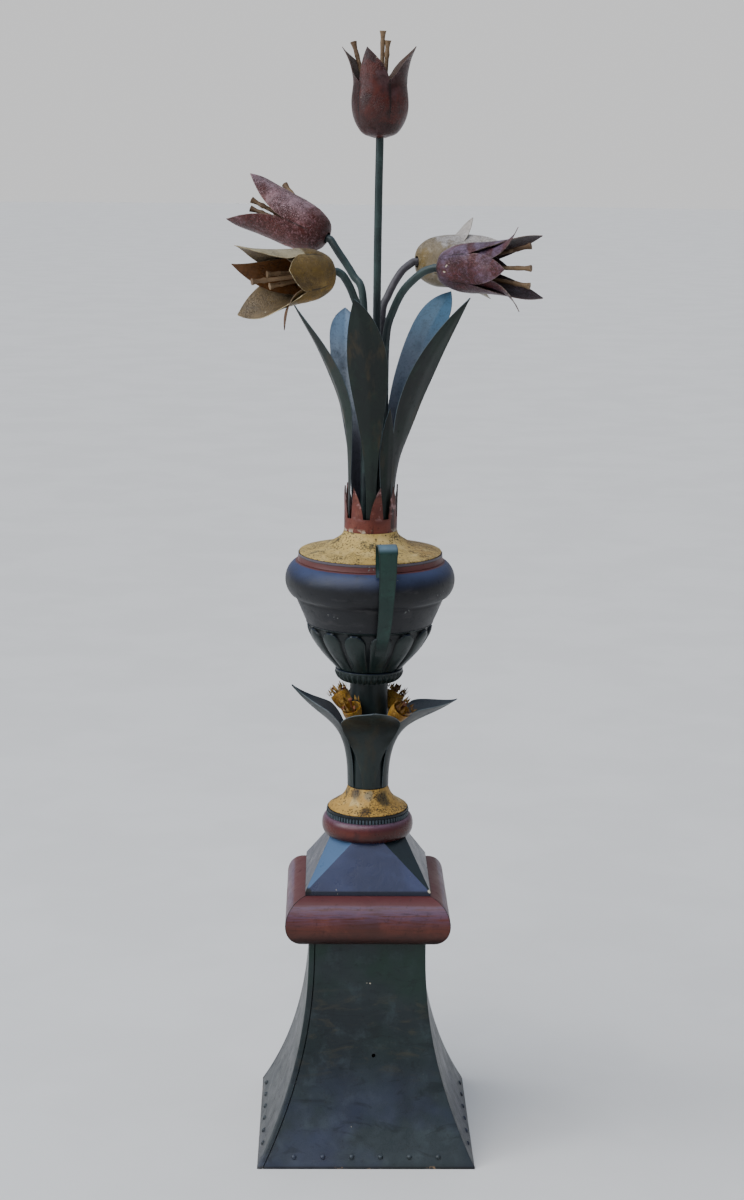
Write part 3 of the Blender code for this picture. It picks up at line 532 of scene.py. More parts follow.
def coat(name, base, deep, pale, rough, middle=36.0, pale_share=0.5, sky_sheen=None,
         sky_sheen_share=0.5, streak=0.0, chips=0.70, chip_tone=CREAM, grime=0.35, dents=1.0,
         touch=None, craze=0.0, wrinkle=0.0):
    """Old brushed paint on sheet: clouded colour, a painted sky sheen on faces that look up, chips
    and grime.
    """
    p = Paint(name)
    wide = p.cloud(7.0, 3.0, 0.6, warp=0.5)
    patch = p.cloud(middle, 4.0, 0.62, warp=0.3, shift=1.7)
    fine = p.cloud(430.0, 3.0, 0.65)
    colour = p.over(deep, base, wide.rise(0.38, 0.58))
    colour = p.over(colour, pale, patch.rise(0.50, 0.72) * pale_share)
    colour = p.over(colour, deep, fine.rise(0.50, 0.72) * 0.45)
    relief = patch * 0.6 * dents + fine * 0.12
    if streak:
        drips = p.cloud(1.0, 4.0, 0.6, stretch=(150.0, 150.0, 9.0))
        colour = p.over(colour, deep, drips.rise(0.52, 0.70) * streak)
        relief = relief + drips * 0.10
    # Painted sky reflection: faces that look up take the sheen colour, in clouds.
    if sky_sheen:
        upward_sheen = p.facing()[2].rise(0.0, 0.9) * (0.55 + patch * 0.9)
        colour = p.over(colour, sky_sheen, upward_sheen * sky_sheen_share)
    if touch:
        colour = touch(p, colour)
    if craze:
        lines = p.cells(210.0, 90.0, 0.010).rise(0.085, 0.02)
        where = p.cloud(26.0, 3.0, 0.6, shift=5.3).rise(0.46, 0.60)
        colour = p.over(colour, GRIME, lines * where * craze)
        relief = relief - lines * where * 0.5
    if wrinkle:
        cracks = p.cells(300.0, 70.0, 0.020, shift=2.2).rise(0.16, 0.02)
        here = p.cloud(40.0, 3.0, 0.6, shift=2.2).rise(0.36, 0.60) * wrinkle
        colour = p.over(colour, deep, cracks * here * 0.85)
        mottle = p.cloud(230.0, 4.0, 0.75, warp=0.8, shift=4.9)
        colour = p.over(colour, deep, mottle.rise(0.50, 0.62) * wrinkle * 0.55)
        colour = p.over(colour, pale, mottle.rise(0.48, 0.38) * wrinkle * 0.35)
        relief = relief - cracks * here * 1.2 + mottle * wrinkle * 0.4
    soot = p.cloud(120.0, 4.0, 0.7, shift=7.7).rise(0.56, 0.70)
    colour = p.over(colour, GRIME, soot * grime)
    bare = spots(p, 190.0, 0.30, chips)
    colour = p.over(colour, chip_tone, bare * 0.85)
    relief = relief - bare * 0.4
    roughness = rough + (patch - 0.5) * 0.35 + soot * 0.15 + bare * 0.2
    return p.finish(colour, roughness, relief, 0.0012, 0.75)


# Finishes.

def pedestal_touch(p, colour):
    low = p.height.rise(0.16, 0.03)
    high = p.height.rise(0.10, 0.30)
    clouds = p.cloud(9.0, 3.0, 0.6, shift=4.4)
    colour = p.over(colour, tone(74, 78, 108), low * clouds.rise(0.38, 0.62) * 0.42)
    colour = p.over(colour, tone(30, 62, 48), high * clouds.rise(0.64, 0.40) * 0.75)
    smear = p.cloud(16.0, 5.0, 0.62, stretch=(1.0, 1.0, 3.0), warp=1.6, shift=9.1)
    around = p.height.rise(0.09, 0.15) * p.height.rise(0.26, 0.20)
    colour = p.over(colour, tone(82, 78, 64), smear.rise(0.52, 0.70) * around * 0.42)
    colour = p.over(colour, tone(26, 32, 34), smear.rise(0.46, 0.34) * 0.35)
    # Painted shade: the side panels, which face along X, are made darker.
    colour = p.over(colour, tone(34, 39, 43), p.facing()[0].size().rise(0.5, 0.9) * 0.5)
    foot = p.height.rise(0.0045, 0.0015)
    worn = p.cloud(70.0, 3.0, 0.6, shift=6.0)
    colour = p.over(colour, tone(34, 30, 28), foot * 0.7)
    return p.over(colour, tone(150, 128, 104), foot * worn.rise(0.60, 0.68) * 0.8)


def moulding_touch(p, colour):
    top = p.height.rise(*MOULDING_SHELF)
    colour = p.over(colour, tone(98, 48, 50), top * 0.75)
    sheen = p.height.rise(*MOULDING_SHEEN) * (1 - top)
    brushed = p.cloud(1.0, 4.0, 0.65, stretch=(26.0, 26.0, 460.0), shift=0.3)
    colour = p.over(colour, tone(112, 92, 116), sheen * brushed.rise(0.30, 0.62) * 0.8)
    colour = p.over(colour, tone(58, 28, 25), brushed.rise(0.52, 0.72) * (1 - top) * 0.6)
    colour = p.over(colour, tone(36, 21, 18), p.height.rise(*MOULDING_SHADE) * 0.9)
    mitre = (p.x.size() - p.y.size()).size().rise(0.0013, 0.0005)
    return p.over(colour, GRIME, mitre * 0.85)


def ring_touch(p, colour):
    worn = p.cloud(48.0, 4.0, 0.65, shift=1.3)
    colour = p.over(colour, tone(52, 24, 22), p.height.rise(*RING_SHADE) * 0.8)
    return p.over(colour, tone(46, 30, 34), worn.rise(0.54, 0.68) * 0.5)


def broach_touch(p, colour):
    # Painted sky reflection and shade by facing: the corner facets that face front-left and
    # back-right are lighter and bluer, the other two corner facets darker, and the faces that look
    # along X darker and greyer.
    across, along, _ = p.facing()
    corner = across * along
    colour = p.over(colour, tone(104, 138, 172), corner.rise(0.10, 0.16) * 0.5)
    colour = p.over(colour, tone(36, 50, 50), corner.rise(-0.10, -0.16) * 0.9)
    colour = p.over(colour, tone(50, 52, 62), across.size().rise(0.70, 0.80) * 0.7)
    lip = p.height.rise(*BROACH_LIP_SHADE)
    colour = p.over(colour, tone(34, 37, 50), lip * 0.8)
    worn = p.near((-0.083, -0.083, 0.376), 0.0075)
    colour = p.over(colour, tone(24, 24, 28), worn)
    return p.over(colour, CREAM, p.near((0.084, -0.084, 0.3775), 0.0030))


def urn_touch(p, colour):
    sway = p.cloud(60.0, 2.0, 0.5, shift=1.1) * 0.0010
    level = p.height + sway
    band = level.rise(*URN_BAND[:2]) * level.rise(URN_BAND[3], URN_BAND[2])
    colour = p.over(colour, tone(106, 66, 64), band)
    rubbed = p.cloud(30.0, 4.0, 0.62, stretch=(1.0, 1.0, 3.0), shift=4.8)
    colour = p.over(colour, tone(72, 70, 72), rubbed.rise(0.56, 0.68) * (1 - band) * 0.35)
    edge = level.rise(*URN_EDGE)
    return p.over(colour, tone(112, 104, 112), edge * 0.8)


def handle_touch(p, colour):
    # Darker towards the foot of the strap, below the bowl.
    ragged_height = p.height + (p.cloud(80.0, 3.0, 0.6, shift=1.9) - 0.5) * 0.02
    colour = p.over(colour, tone(24, 28, 30), ragged_height.rise(*HANDLE_FOOT_DARKENING) * 0.75)
    return p.over(colour, tone(30, 36, 36), p.mark("edge").rise(0.5, 0.95) * 0.5)


def cup_touch(p, colour):
    """Black in the valleys between the tongues."""
    return p.over(colour, tone(20, 26, 28), p.mark("valley").rise(0.25, 0.80) * 0.9)


def petal_touch(inside, rim, heart=None, heart_reach=0.3, patch=None, second=None):
    """Petal paint: another colour inside, a worn rim, and a darker heart."""
    def touch(p, colour):
        if second:
            colour = p.over(colour, second, p.mark("second").rise(0.1, 0.8) * 0.85)
        if patch:
            clouds = p.cloud(20.0, 4.0, 0.6, warp=0.6)
            share = clouds.rise(0.47, 0.60) * (1 - p.mark("second").rise(0.1, 0.8))
            colour = p.over(colour, patch, share * 0.9)
        if heart:
            deep = p.mark("along") + (p.cloud(45.0, 3.0, 0.6, shift=2.9) - 0.5) * 0.35
            colour = p.over(colour, heart, deep.rise(heart_reach, heart_reach - 0.12))
        colour = p.over(colour, GRIME, p.mark("seam").rise(0.45, 0.95) * 0.8)
        within = p.cloud(50.0, 4.0, 0.65, shift=8.0)
        lining = p.over(inside, GRIME, within.rise(0.45, 0.70) * 0.4)
        colour = p.over(colour, lining, p.mark("inner"))
        worn = p.mark("edge") + (p.cloud(130.0, 3.0, 0.6, shift=3.3) - 0.5) * 0.25
        return p.over(colour, rim, worn.rise(0.90, 0.99) * 0.75)
    return touch


def leaf_touch(back, ridge=0.25, smears=0.45, top=None):
    """Leaf paint: a worn rib and rim, smears in front, and behind a blue-grey that is partly
    painted sky reflection.
    """
    def touch(p, colour):
        rib = p.mark("rib")
        colour = p.over(colour, tone(70, 64, 50), rib.rise(0.93, 1.0) * ridge)
        smear = p.cloud(30.0, 4.0, 0.65, stretch=(1.0, 1.0, 0.22), shift=5.0)
        colour = p.over(colour, tone(66, 58, 40), smear.rise(0.52, 0.66) * smears)
        colour = p.over(colour, tone(24, 28, 30), smear.rise(0.44, 0.34) * 0.5)
        specks = p.cloud(280.0, 4.0, 0.78, shift=2.0)
        low = p.mark("along").rise(0.60, 0.30)
        wiped = p.cloud(34.0, 4.0, 0.6, stretch=(1.0, 1.0, 0.5), shift=6.2)
        # The back colour and its bluer tip colour are painted sky reflection over the back's own
        # paint; wiped streaks, a violet-grey foot and specks go over them.
        lining = p.over(back, top or back, p.mark("along").rise(0.62, 0.92) * 0.8)
        lining = p.over(lining, tone(66, 84, 100), wiped.rise(0.48, 0.66) * 0.6)
        lining = p.over(lining, tone(70, 68, 80), low * 0.9)
        lining = p.over(lining, GRIME, specks.rise(0.50, 0.66) * 0.35)
        colour = p.over(colour, lining, p.mark("inner"))
        worn = p.mark("edge") + (p.cloud(120.0, 3.0, 0.6) - 0.5) * 0.2
        return p.over(colour, tone(120, 132, 136), worn.rise(0.93, 0.99) * 0.5)
    return touch


SKIRT_STAINS = ((-124.0, 0.034, 0.4985, 0.0125, tone(44, 42, 44)),
                (-52.0, 0.037, 0.4935, 0.0150, tone(46, 52, 46)),
                (-88.0, 0.034, 0.4985, 0.0100, tone(150, 142, 120)),
                (-94.0, 0.049, 0.4790, 0.0100, tone(92, 72, 44)),
                (60.0, 0.036, 0.4950, 0.0140, tone(48, 46, 42)),
                (165.0, 0.045, 0.4850, 0.0120, tone(92, 76, 50)))


def collar_touch(p, colour):
    foot = p.height.rise(*COLLAR_WEAR)
    worn = p.cloud(75.0, 4.0, 0.65, shift=6.6)
    colour = p.over(colour, CREAM, foot * worn.rise(0.50, 0.58) * 0.8)
    colour = p.over(colour, GRIME, p.mark("edge").rise(0.80, 0.97) * 0.7)
    smear = p.cloud(90.0, 3.0, 0.6, stretch=(1.0, 1.0, 0.25), shift=3.0).rise(0.54, 0.66)
    colour = p.over(colour, tone(44, 40, 40), smear * 0.75)
    rubbed = p.cloud(55.0, 4.0, 0.6, shift=0.8).rise(0.54, 0.64) * p.height.rise(*COLLAR_RUB)
    return p.over(colour, tone(166, 132, 132), rubbed * 0.8)


def skirt_touch(p, colour):
    clouds = p.cloud(34.0, 4.0, 0.62, warp=0.6, shift=2.5)
    colour = p.over(colour, tone(88, 84, 66), clouds.rise(0.58, 0.66) * 0.8)
    colour = p.over(colour, tone(206, 184, 132), clouds.rise(0.44, 0.34) * 0.7)
    for azimuth, radius, z, reach, shade in SKIRT_STAINS:
        spot = tuple(polar(azimuth, radius, z))
        colour = p.over(colour, shade, p.near(spot, reach) * 0.8)
    pits = spots(p, 260.0, 0.42, 0.45, 4.0)
    colour = p.over(colour, tone(58, 46, 34), pits * 0.8)
    flecks = p.cloud(260.0, 3.0, 0.7, shift=1.5).rise(0.56, 0.64) * clouds.rise(0.42, 0.58)
    return p.over(colour, tone(66, 52, 40), flecks * 0.6)


def fringe_touch(p, colour):
    return p.over(colour, tone(74, 44, 30), p.cloud(120.0, 3.0, 0.6).rise(0.52, 0.62) * 0.7)


PEDESTAL = coat("brushed_green_grey", tone(50, 60, 63), tone(38, 46, 50), tone(68, 80, 84), 0.40,
                sky_sheen=tone(104, 112, 120), sky_sheen_share=0.30, chips=0.72, touch=pedestal_touch,
                grime=0.25)
MOULDING = coat("worn_brick_red", tone(106, 57, 44), tone(80, 42, 33), tone(128, 74, 60), 0.42,
                sky_sheen=tone(130, 108, 116), sky_sheen_share=0.40, chips=0.70,
                chip_tone=tone(176, 132, 112), touch=moulding_touch)
BROACH = coat("satin_slate", tone(70, 78, 110), tone(58, 65, 92), tone(80, 90, 122), 0.32,
              pale_share=0.30, chips=0.71, grime=0.06, touch=broach_touch, dents=0.8)
RING = coat("red_brown", tone(98, 46, 38), tone(70, 32, 27), tone(114, 58, 48), 0.30,
            sky_sheen=tone(124, 106, 128), sky_sheen_share=0.55, chips=0.72, touch=ring_touch)
BAND = coat("band_near_black", tone(22, 27, 29), tone(14, 16, 18), tone(38, 46, 50), 0.45,
            chips=0.62, chip_tone=tone(96, 84, 58))
TAB = coat("tab_blue_grey", tone(72, 84, 92), tone(44, 50, 56), tone(110, 122, 128), 0.45,
           middle=120.0, chips=0.64, chip_tone=tone(150, 142, 120))
SKIRT = coat("crazed_ochre", tone(188, 154, 86), tone(158, 120, 62), tone(204, 182, 128), 0.50,
             chips=0.72, craze=0.9, grime=0.30, touch=skirt_touch, middle=60.0)
STEM = coat("stem_dark_green", tone(38, 50, 50), tone(28, 36, 38), tone(50, 66, 64), 0.40,
            sky_sheen=tone(82, 100, 112), sky_sheen_share=0.45, streak=0.35, chips=0.72)
ROD = coat("rod_teal_green", tone(60, 76, 74), tone(42, 52, 54), tone(80, 100, 98), 0.40,
           sky_sheen=tone(96, 112, 118), sky_sheen_share=0.45, streak=0.5, chips=0.70)
GREY_ROD = coat("rod_grey_violet", tone(84, 80, 86), tone(52, 54, 58), tone(112, 108, 108), 0.45,
                sky_sheen=tone(128, 126, 132), sky_sheen_share=0.4, streak=0.35, chips=0.70, grime=0.5)
STEM_LEAF = coat("leaf_dark_green", tone(40, 52, 50), tone(30, 38, 38), tone(54, 70, 66), 0.38,
                 sky_sheen=tone(84, 104, 118), sky_sheen_share=0.55, chips=0.72, grime=0.2,
                 touch=leaf_touch(tone(92, 98, 106)))
FLORET = coat("aged_mustard", tone(196, 154, 66), tone(150, 112, 44), tone(214, 180, 104), 0.52,
              middle=70.0, chips=0.68, chip_tone=tone(80, 50, 30), grime=0.5, craze=0.4)
FRINGE = coat("fringe_mustard", tone(168, 136, 70), tone(110, 82, 40), tone(196, 168, 108), 0.52,
              middle=90.0, chips=0.68, grime=0.6, touch=fringe_touch)
PISTIL = coat("pistil_rust", tone(150, 98, 76), tone(96, 62, 46), tone(176, 128, 100), 0.60,
              middle=110.0, grime=0.5)
URN = coat("urn_near_black", tone(31, 32, 37), tone(24, 25, 29), tone(44, 45, 54), 0.46,
           sky_sheen=tone(72, 86, 124), sky_sheen_share=0.70, chips=0.66, grime=0.1, touch=urn_touch,
           chip_tone=tone(120, 122, 120))
CUP = coat("cup_dark_green", tone(36, 50, 47), tone(26, 36, 36), tone(48, 66, 62), 0.38,
           sky_sheen=tone(58, 66, 92), sky_sheen_share=0.5, chips=0.72, streak=0.2, touch=cup_touch)
SHOULDER = coat("pale_ochre", tone(196, 172, 112), tone(166, 138, 84), tone(210, 194, 148), 0.50,
                chips=0.72, craze=0.9, middle=60.0, touch=skirt_touch)
COLLAR = coat("chipped_red", tone(126, 70, 58), tone(92, 50, 44), tone(150, 100, 86), 0.46,
              sky_sheen=tone(134, 104, 100), sky_sheen_share=0.4, chips=0.66, touch=collar_touch)
HANDLE = coat("strap_green", tone(42, 74, 66), tone(32, 54, 50), tone(54, 88, 80), 0.36,
              sky_sheen=tone(118, 140, 156), sky_sheen_share=0.75, chips=0.72, streak=0.15,
              touch=handle_touch)
LEAF_BLUES = (tone(40, 54, 56), tone(30, 38, 42), tone(54, 72, 76))
# Painted sky sheen on faces that look up, with streaks, chips and grime.
LEAF_SHEEN_AND_WEAR = dict(sky_sheen=tone(84, 104, 118), sky_sheen_share=0.4, streak=0.3, chips=0.72, grime=0.2)
LONG_LEAF = coat("long_leaf_green", tone(34, 52, 44), tone(24, 34, 31), tone(46, 66, 54), 0.48,
                 touch=leaf_touch(tone(86, 112, 134), smears=0.95), **LEAF_SHEEN_AND_WEAR)
BLUE_LEAF = coat("long_leaf_blue", *LEAF_BLUES, 0.38, **LEAF_SHEEN_AND_WEAR,
                 touch=leaf_touch(tone(96, 108, 124), 0.1, top=tone(80, 124, 152)))
PALE_LEAF = coat("long_leaf_pale", *LEAF_BLUES, 0.38, **LEAF_SHEEN_AND_WEAR,
                 touch=leaf_touch(tone(164, 172, 182), 0.1, top=tone(126, 156, 186)))
TULIP_PAINT = {
    "top": coat("tulip_dark_red", tone(82, 50, 46), tone(56, 32, 30), tone(112, 84, 88), 0.34,
                sky_sheen=tone(118, 104, 116), sky_sheen_share=0.35, wrinkle=0.2, chips=0.70,
                touch=petal_touch(tone(98, 78, 68), tone(92, 76, 72), patch=tone(98, 50, 42))),
    "left_rear": coat("tulip_rose", tone(136, 74, 68), tone(84, 40, 36), tone(170, 132, 138), 0.38,
                      sky_sheen=tone(176, 158, 168), sky_sheen_share=0.48, wrinkle=1.0, chips=0.70,
                      touch=petal_touch(tone(110, 84, 62), tone(168, 148, 136),
                                        heart=tone(80, 38, 34), heart_reach=0.16,
                                        patch=tone(100, 52, 44))),
    "left_front": coat("tulip_ochre", tone(148, 118, 56), tone(88, 70, 38), tone(170, 144, 82),
                       0.42, sky_sheen=tone(164, 148, 104), sky_sheen_share=0.30, wrinkle=0.4,
                       chips=0.69, craze=0.4,
                       touch=petal_touch(tone(134, 118, 94), tone(206, 192, 158),
                                         patch=tone(112, 92, 50), second=tone(176, 168, 144))),
    "left_front_lining": coat("tulip_lining_ochre", tone(122, 100, 70), tone(84, 66, 44),
                              tone(150, 132, 104), 0.46, sky_sheen=tone(168, 158, 138),
                              sky_sheen_share=0.3, wrinkle=0.3, chips=0.69, craze=0.5,
                              touch=petal_touch(tone(120, 80, 38), tone(120, 104, 84),
                                                patch=tone(112, 92, 60))),
    "right_rear": coat("tulip_yellow_grey", tone(178, 168, 150), tone(132, 118, 94),
                       tone(206, 202, 196), 0.44, sky_sheen=tone(210, 206, 208), sky_sheen_share=0.75,
                       wrinkle=0.4, chips=0.69, craze=0.4,
                       touch=petal_touch(tone(132, 120, 104), tone(196, 190, 178),
                                         heart=tone(134, 114, 66), heart_reach=0.12,
                                         patch=tone(142, 128, 102))),
    "right_front": coat("tulip_purple", tone(114, 82, 90), tone(72, 42, 44), tone(132, 112, 134),
                        0.36, sky_sheen=tone(144, 130, 158), sky_sheen_share=0.48, wrinkle=0.9,
                        chips=0.70, craze=0.3,
                        touch=petal_touch(tone(62, 38, 32), tone(164, 148, 136),
                                          patch=tone(102, 52, 50))),
}
STAMEN = coat("stamen_buff", tone(144, 122, 96), tone(98, 76, 58), tone(176, 156, 130), 0.58,
              middle=90.0, chips=0.66, chip_tone=tone(96, 66, 44), grime=0.4)


# Geometry Nodes: heads, tabs, crimps and teeth that repeat.

class Recipe:
    """A node tree that grows repeated work on a mesh of points."""

    def __init__(self, name, **sizes):
        self.tree = bpy.data.node_groups.new(name, "GeometryNodeTree")
        face = self.tree.interface
        face.new_socket("Geometry", in_out="INPUT", socket_type="NodeSocketGeometry")
        for label in sizes:
            face.new_socket(label, in_out="INPUT", socket_type="NodeSocketFloat")
        face.new_socket("Geometry", in_out="OUTPUT", socket_type="NodeSocketGeometry")
        self.inputs = self.tree.nodes.new("NodeGroupInput").outputs
        self.sizes = sizes

    def node(self, kind, settings=None, values=(), out=0):
        return add_node(self.tree, kind, settings, values).outputs[out]

    def maths(self, operation, *values):
        return self.node("ShaderNodeMath", {"operation": operation}, values)

    def vector(self, label):
        return self.node("GeometryNodeInputNamedAttribute", {"data_type": "FLOAT_VECTOR"},
                         {"Name": label})

    def close(self, geometry, finish):
        whole = self.node("GeometryNodeRealizeInstances", {}, [geometry])
        painted = self.node("GeometryNodeSetMaterial", {}, {"Geometry": whole, "Material": finish})
        end = self.tree.nodes.new("NodeGroupOutput")
        self.tree.links.new(painted, end.inputs[0])
        return self


def grow(name, recipe, mesh, finish, nodes=(), sharp_deg=32.0):
    """Run a recipe on a mesh and keep the plain mesh that comes out."""
    holder = placed(name + "_holder", mesh)
    step = holder.modifiers.new("recipe", "NODES")
    step.node_group = recipe.tree
    for item in recipe.tree.interface.items_tree:
        if item.in_out == "INPUT" and item.name in recipe.sizes:
            step[item.identifier] = recipe.sizes[item.name]
    seen = holder.evaluated_get(bpy.context.evaluated_depsgraph_get())
    plain = bpy.data.meshes.new_from_object(seen)
    bpy.data.objects.remove(holder)
    plain.name = name
    return settle(name, plain, finish, nodes, sharp_deg)


def point_mesh(name, places, **vectors):
    """Bare points, each with the directions that its copy is laid along."""
    mesh = plain_mesh(name, places)
    for label, values in vectors.items():
        lie = mesh.attributes.new(label, "FLOAT_VECTOR", "POINT")
        lie.data.foreach_set("vector", [c for v in values for c in v])
    return mesh


def copies(recipe, shape, scale=(1.0, 1.0, 1.0)):
    """One shape on every point, its top along "lie" and its face along "face"."""
    turn = recipe.node("FunctionNodeAlignRotationToVector", {"axis": "Z"},
                       {"Vector": recipe.vector("lie")})
    turn = recipe.node("FunctionNodeAlignRotationToVector", {"axis": "X", "pivot_axis": "Z"},
                       {"Rotation": turn, "Vector": recipe.vector("face")})
    return recipe.node("GeometryNodeInstanceOnPoints", {},
                       {"Points": recipe.inputs["Geometry"], "Instance": shape,
                        "Rotation": turn, "Scale": scale})


def sized(recipe, shape, *sizes):
    scale = recipe.node("ShaderNodeCombineXYZ", {}, sizes)
    return recipe.node("GeometryNodeTransform", {}, {"Geometry": shape, "Scale": scale})


def rivet_recipe():
    recipe = Recipe("rivet_heads", Radius=RIVET_RADIUS, Height=RIVET_HEIGHT)
    dome = recipe.node("GeometryNodeMeshUVSphere", {}, {"Segments": 14, "Rings": 8, "Radius": 1.0})
    dome = sized(recipe, dome, recipe.inputs["Radius"], recipe.inputs["Radius"],
                 recipe.inputs["Height"])
    return recipe.close(copies(recipe, dome), PEDESTAL)


def tab_recipe(finish):
    thick, width, height = TAB_SIZE
    recipe = Recipe("notch_tabs", Thick=thick, Width=width, Height=height)
    box = recipe.node("GeometryNodeMeshCube", {}, {"Size": (1.0, 1.0, 1.0)})
    box = sized(recipe, box, recipe.inputs["Thick"], recipe.inputs["Width"],
                recipe.inputs["Height"])
    return recipe.close(copies(recipe, box), finish)


def tooth_recipe(finish, width, height):
    """Flat pointed teeth, each a little longer or shorter than the next."""
    recipe = Recipe("fringe_teeth", Width=width, Height=height, Thick=0.0007)
    spike = recipe.node("GeometryNodeMeshCone", {"fill_type": "NGON"},
                        {"Vertices": 6, "Side Segments": 2, "Radius Top": 0.05,
                         "Radius Bottom": 0.5, "Depth": 1.0})
    spike = sized(recipe, spike, recipe.inputs["Thick"], recipe.inputs["Width"],
                  recipe.inputs["Height"])
    vary = recipe.node("FunctionNodeRandomValue", {"data_type": "FLOAT"},
                       {"Min": 0.72, "Max": 1.18, "Seed": 4}, 1)
    scale = recipe.node("ShaderNodeCombineXYZ", {}, [1.0, 1.0, vary])
    return recipe.close(copies(recipe, spike, scale), finish)


def crimp_recipe(finish):
    """Press upright crimps into the lower part of a turned band."""
    low, high = CRIMP_FOOT[1], CRIMP_TOP[1]
    recipe = Recipe("crimps", Count=float(CRIMPS), Depth=CRIMP_DEPTH)
    place = recipe.node("GeometryNodeInputPosition")
    split = recipe.node("ShaderNodeSeparateXYZ", {}, [place]).node.outputs
    angle = recipe.maths("ARCTAN2", split["Y"], split["X"])
    wave = recipe.maths("COSINE", recipe.maths("MULTIPLY", angle, recipe.inputs["Count"]))
    reach = recipe.node("ShaderNodeMapRange", {"interpolation_type": "SMOOTHSTEP"},
                        {"Value": split["Z"], "From Min": mix(low, high, 0.85),
                         "From Max": mix(low, high, 0.62)})
    foot = recipe.node("ShaderNodeMapRange", {"interpolation_type": "SMOOTHSTEP"},
                       {"Value": split["Z"], "From Min": low, "From Max": mix(low, high, 0.12)})
    push = recipe.maths("MULTIPLY", recipe.maths("MULTIPLY", wave, reach), foot)
    push = recipe.maths("MULTIPLY", push, recipe.inputs["Depth"])
    flat = recipe.node("ShaderNodeCombineXYZ", {}, [split["X"], split["Y"], 0.0])
    away = recipe.node("ShaderNodeVectorMath", {"operation": "NORMALIZE"}, [flat])
    step = recipe.node("ShaderNodeVectorMath", {"operation": "SCALE"},
                       {"Vector": away, "Scale": push})
    moved = recipe.node("GeometryNodeSetPosition", {},
                        {"Geometry": recipe.inputs["Geometry"], "Offset": step})
    return recipe.close(moved, finish)


# Pedestal.

def pedestal_half(z):
    left = max(1.0 - z / PEDESTAL_RISE, 0.0)
    return NECK_HALF + (BASE_HALF - NECK_HALF) * left**FLARE_POWER


def panel_section(z):
    """Plan points of one panel: its face, the fold, and the flange round it."""
    half = pedestal_half(z) - SHEET / 2
    left = -half + FLANGE + GAP + SHEET
    right = half - FOLD_RADIUS
    last = PANEL_COLUMNS - 1
    section = [(mix(left, right, i / last), -half) for i in range(PANEL_COLUMNS)]
    for a in (-60.0, -30.0, 0.0):
        turn = math.radians(a)
        section.append((right + FOLD_RADIUS * math.cos(turn), -half + FOLD_RADIUS
                        + FOLD_RADIUS * math.sin(turn)))
    section.append((half, -half + FLANGE * 0.6))
    section.append((half, -half + FLANGE))
    return section


def pedestal():
    top = MOULDING_SEAT_Z + MOULDING_HEIGHT - 2 * SHEET
    heights = [mix(SHEET / 2, PEDESTAL_RISE, (i / PANEL_ROWS) ** 1.12)
               for i in range(PANEL_ROWS + 1)]
    heights += [mix(PEDESTAL_RISE, top, share) for share in (0.35, 0.7, 1.0)]
    for quarter, side in enumerate(("front", "right", "back", "left")):
        points = []
        for z in heights:
            slack = PANEL_SWAY * ease(z / 0.05) * ease((PEDESTAL_RISE - z) / 0.04)
            section = panel_section(z)
            for i, (x, y) in enumerate(section):
                share = math.sin(math.pi * min(i / (PANEL_COLUMNS - 1), 1.0))
                sway = noise.noise(Vector((x * 9.0, z * 11.0, quarter * 3.7)))
                x, y = turned(x, y + slack * share * sway, quarter)
                points.append((x, y, z))
        columns = len(section)
        faces = grid(len(heights), columns)
        hem = len(points)
        inner = -pedestal_half(SHEET / 2) + SHEET / 2 + HEM
        for x, y in panel_section(SHEET / 2):
            x = min(max(x, inner + GAP + SHEET), -inner)
            points.append((*turned(x, inner, quarter), SHEET / 2))
        for i in range(columns - 3):
            faces.append((hem + i, hem + i + 1, i + 1, i))
        made = shell(points, faces)
        panel = piece("pedestal_panel_" + side, made, PEDESTAL,
                      ["base_panel_" + side])
        if quarter == 0:
            pierce(panel)
    places, lies, faces = [], [], []
    for quarter in range(4):
        half = pedestal_half(RIVET_Z)
        slope = (pedestal_half(RIVET_Z + 0.001) - pedestal_half(RIVET_Z - 0.001)) / 0.002
        for i in range(RIVETS_PER_SIDE):
            x = (i - (RIVETS_PER_SIDE - 1) / 2) * RIVET_PITCH
            places.append((*turned(x, -half, quarter), RIVET_Z))
            lies.append(Vector((*turned(0.0, -1.0, quarter), -slope)).normalized())
            faces.append(Vector((*turned(1.0, 0.0, quarter), 0.0)))
    grow("pedestal_rivets", rivet_recipe(), point_mesh("rivets", places, lie=lies, face=faces),
         PEDESTAL, sharp_deg=60.0)


def pierce(panel):
    """Cut the nail hole through the front panel."""
    x, z = NAIL_HOLE
    centres = [Vector((x, -BASE_HALF, z)), Vector((x, -BASE_HALF / 3, z))]
    points, faces, _ = rod(centres, [NAIL_HOLE_RADIUS] * 2, 20, Vector((1, 0, 0)))
    nail = placed("nail", plain_mesh("nail", points, faces))
    cut = panel.modifiers.new("hole", "BOOLEAN")
    cut.operation = "DIFFERENCE"
    cut.solver = "EXACT"
    cut.object = nail
    seen = panel.evaluated_get(bpy.context.evaluated_depsgraph_get())
    panel.data = bpy.data.meshes.new_from_object(seen)
    panel.modifiers.clear()
    bpy.data.objects.remove(nail)


# Square moulding and broach.

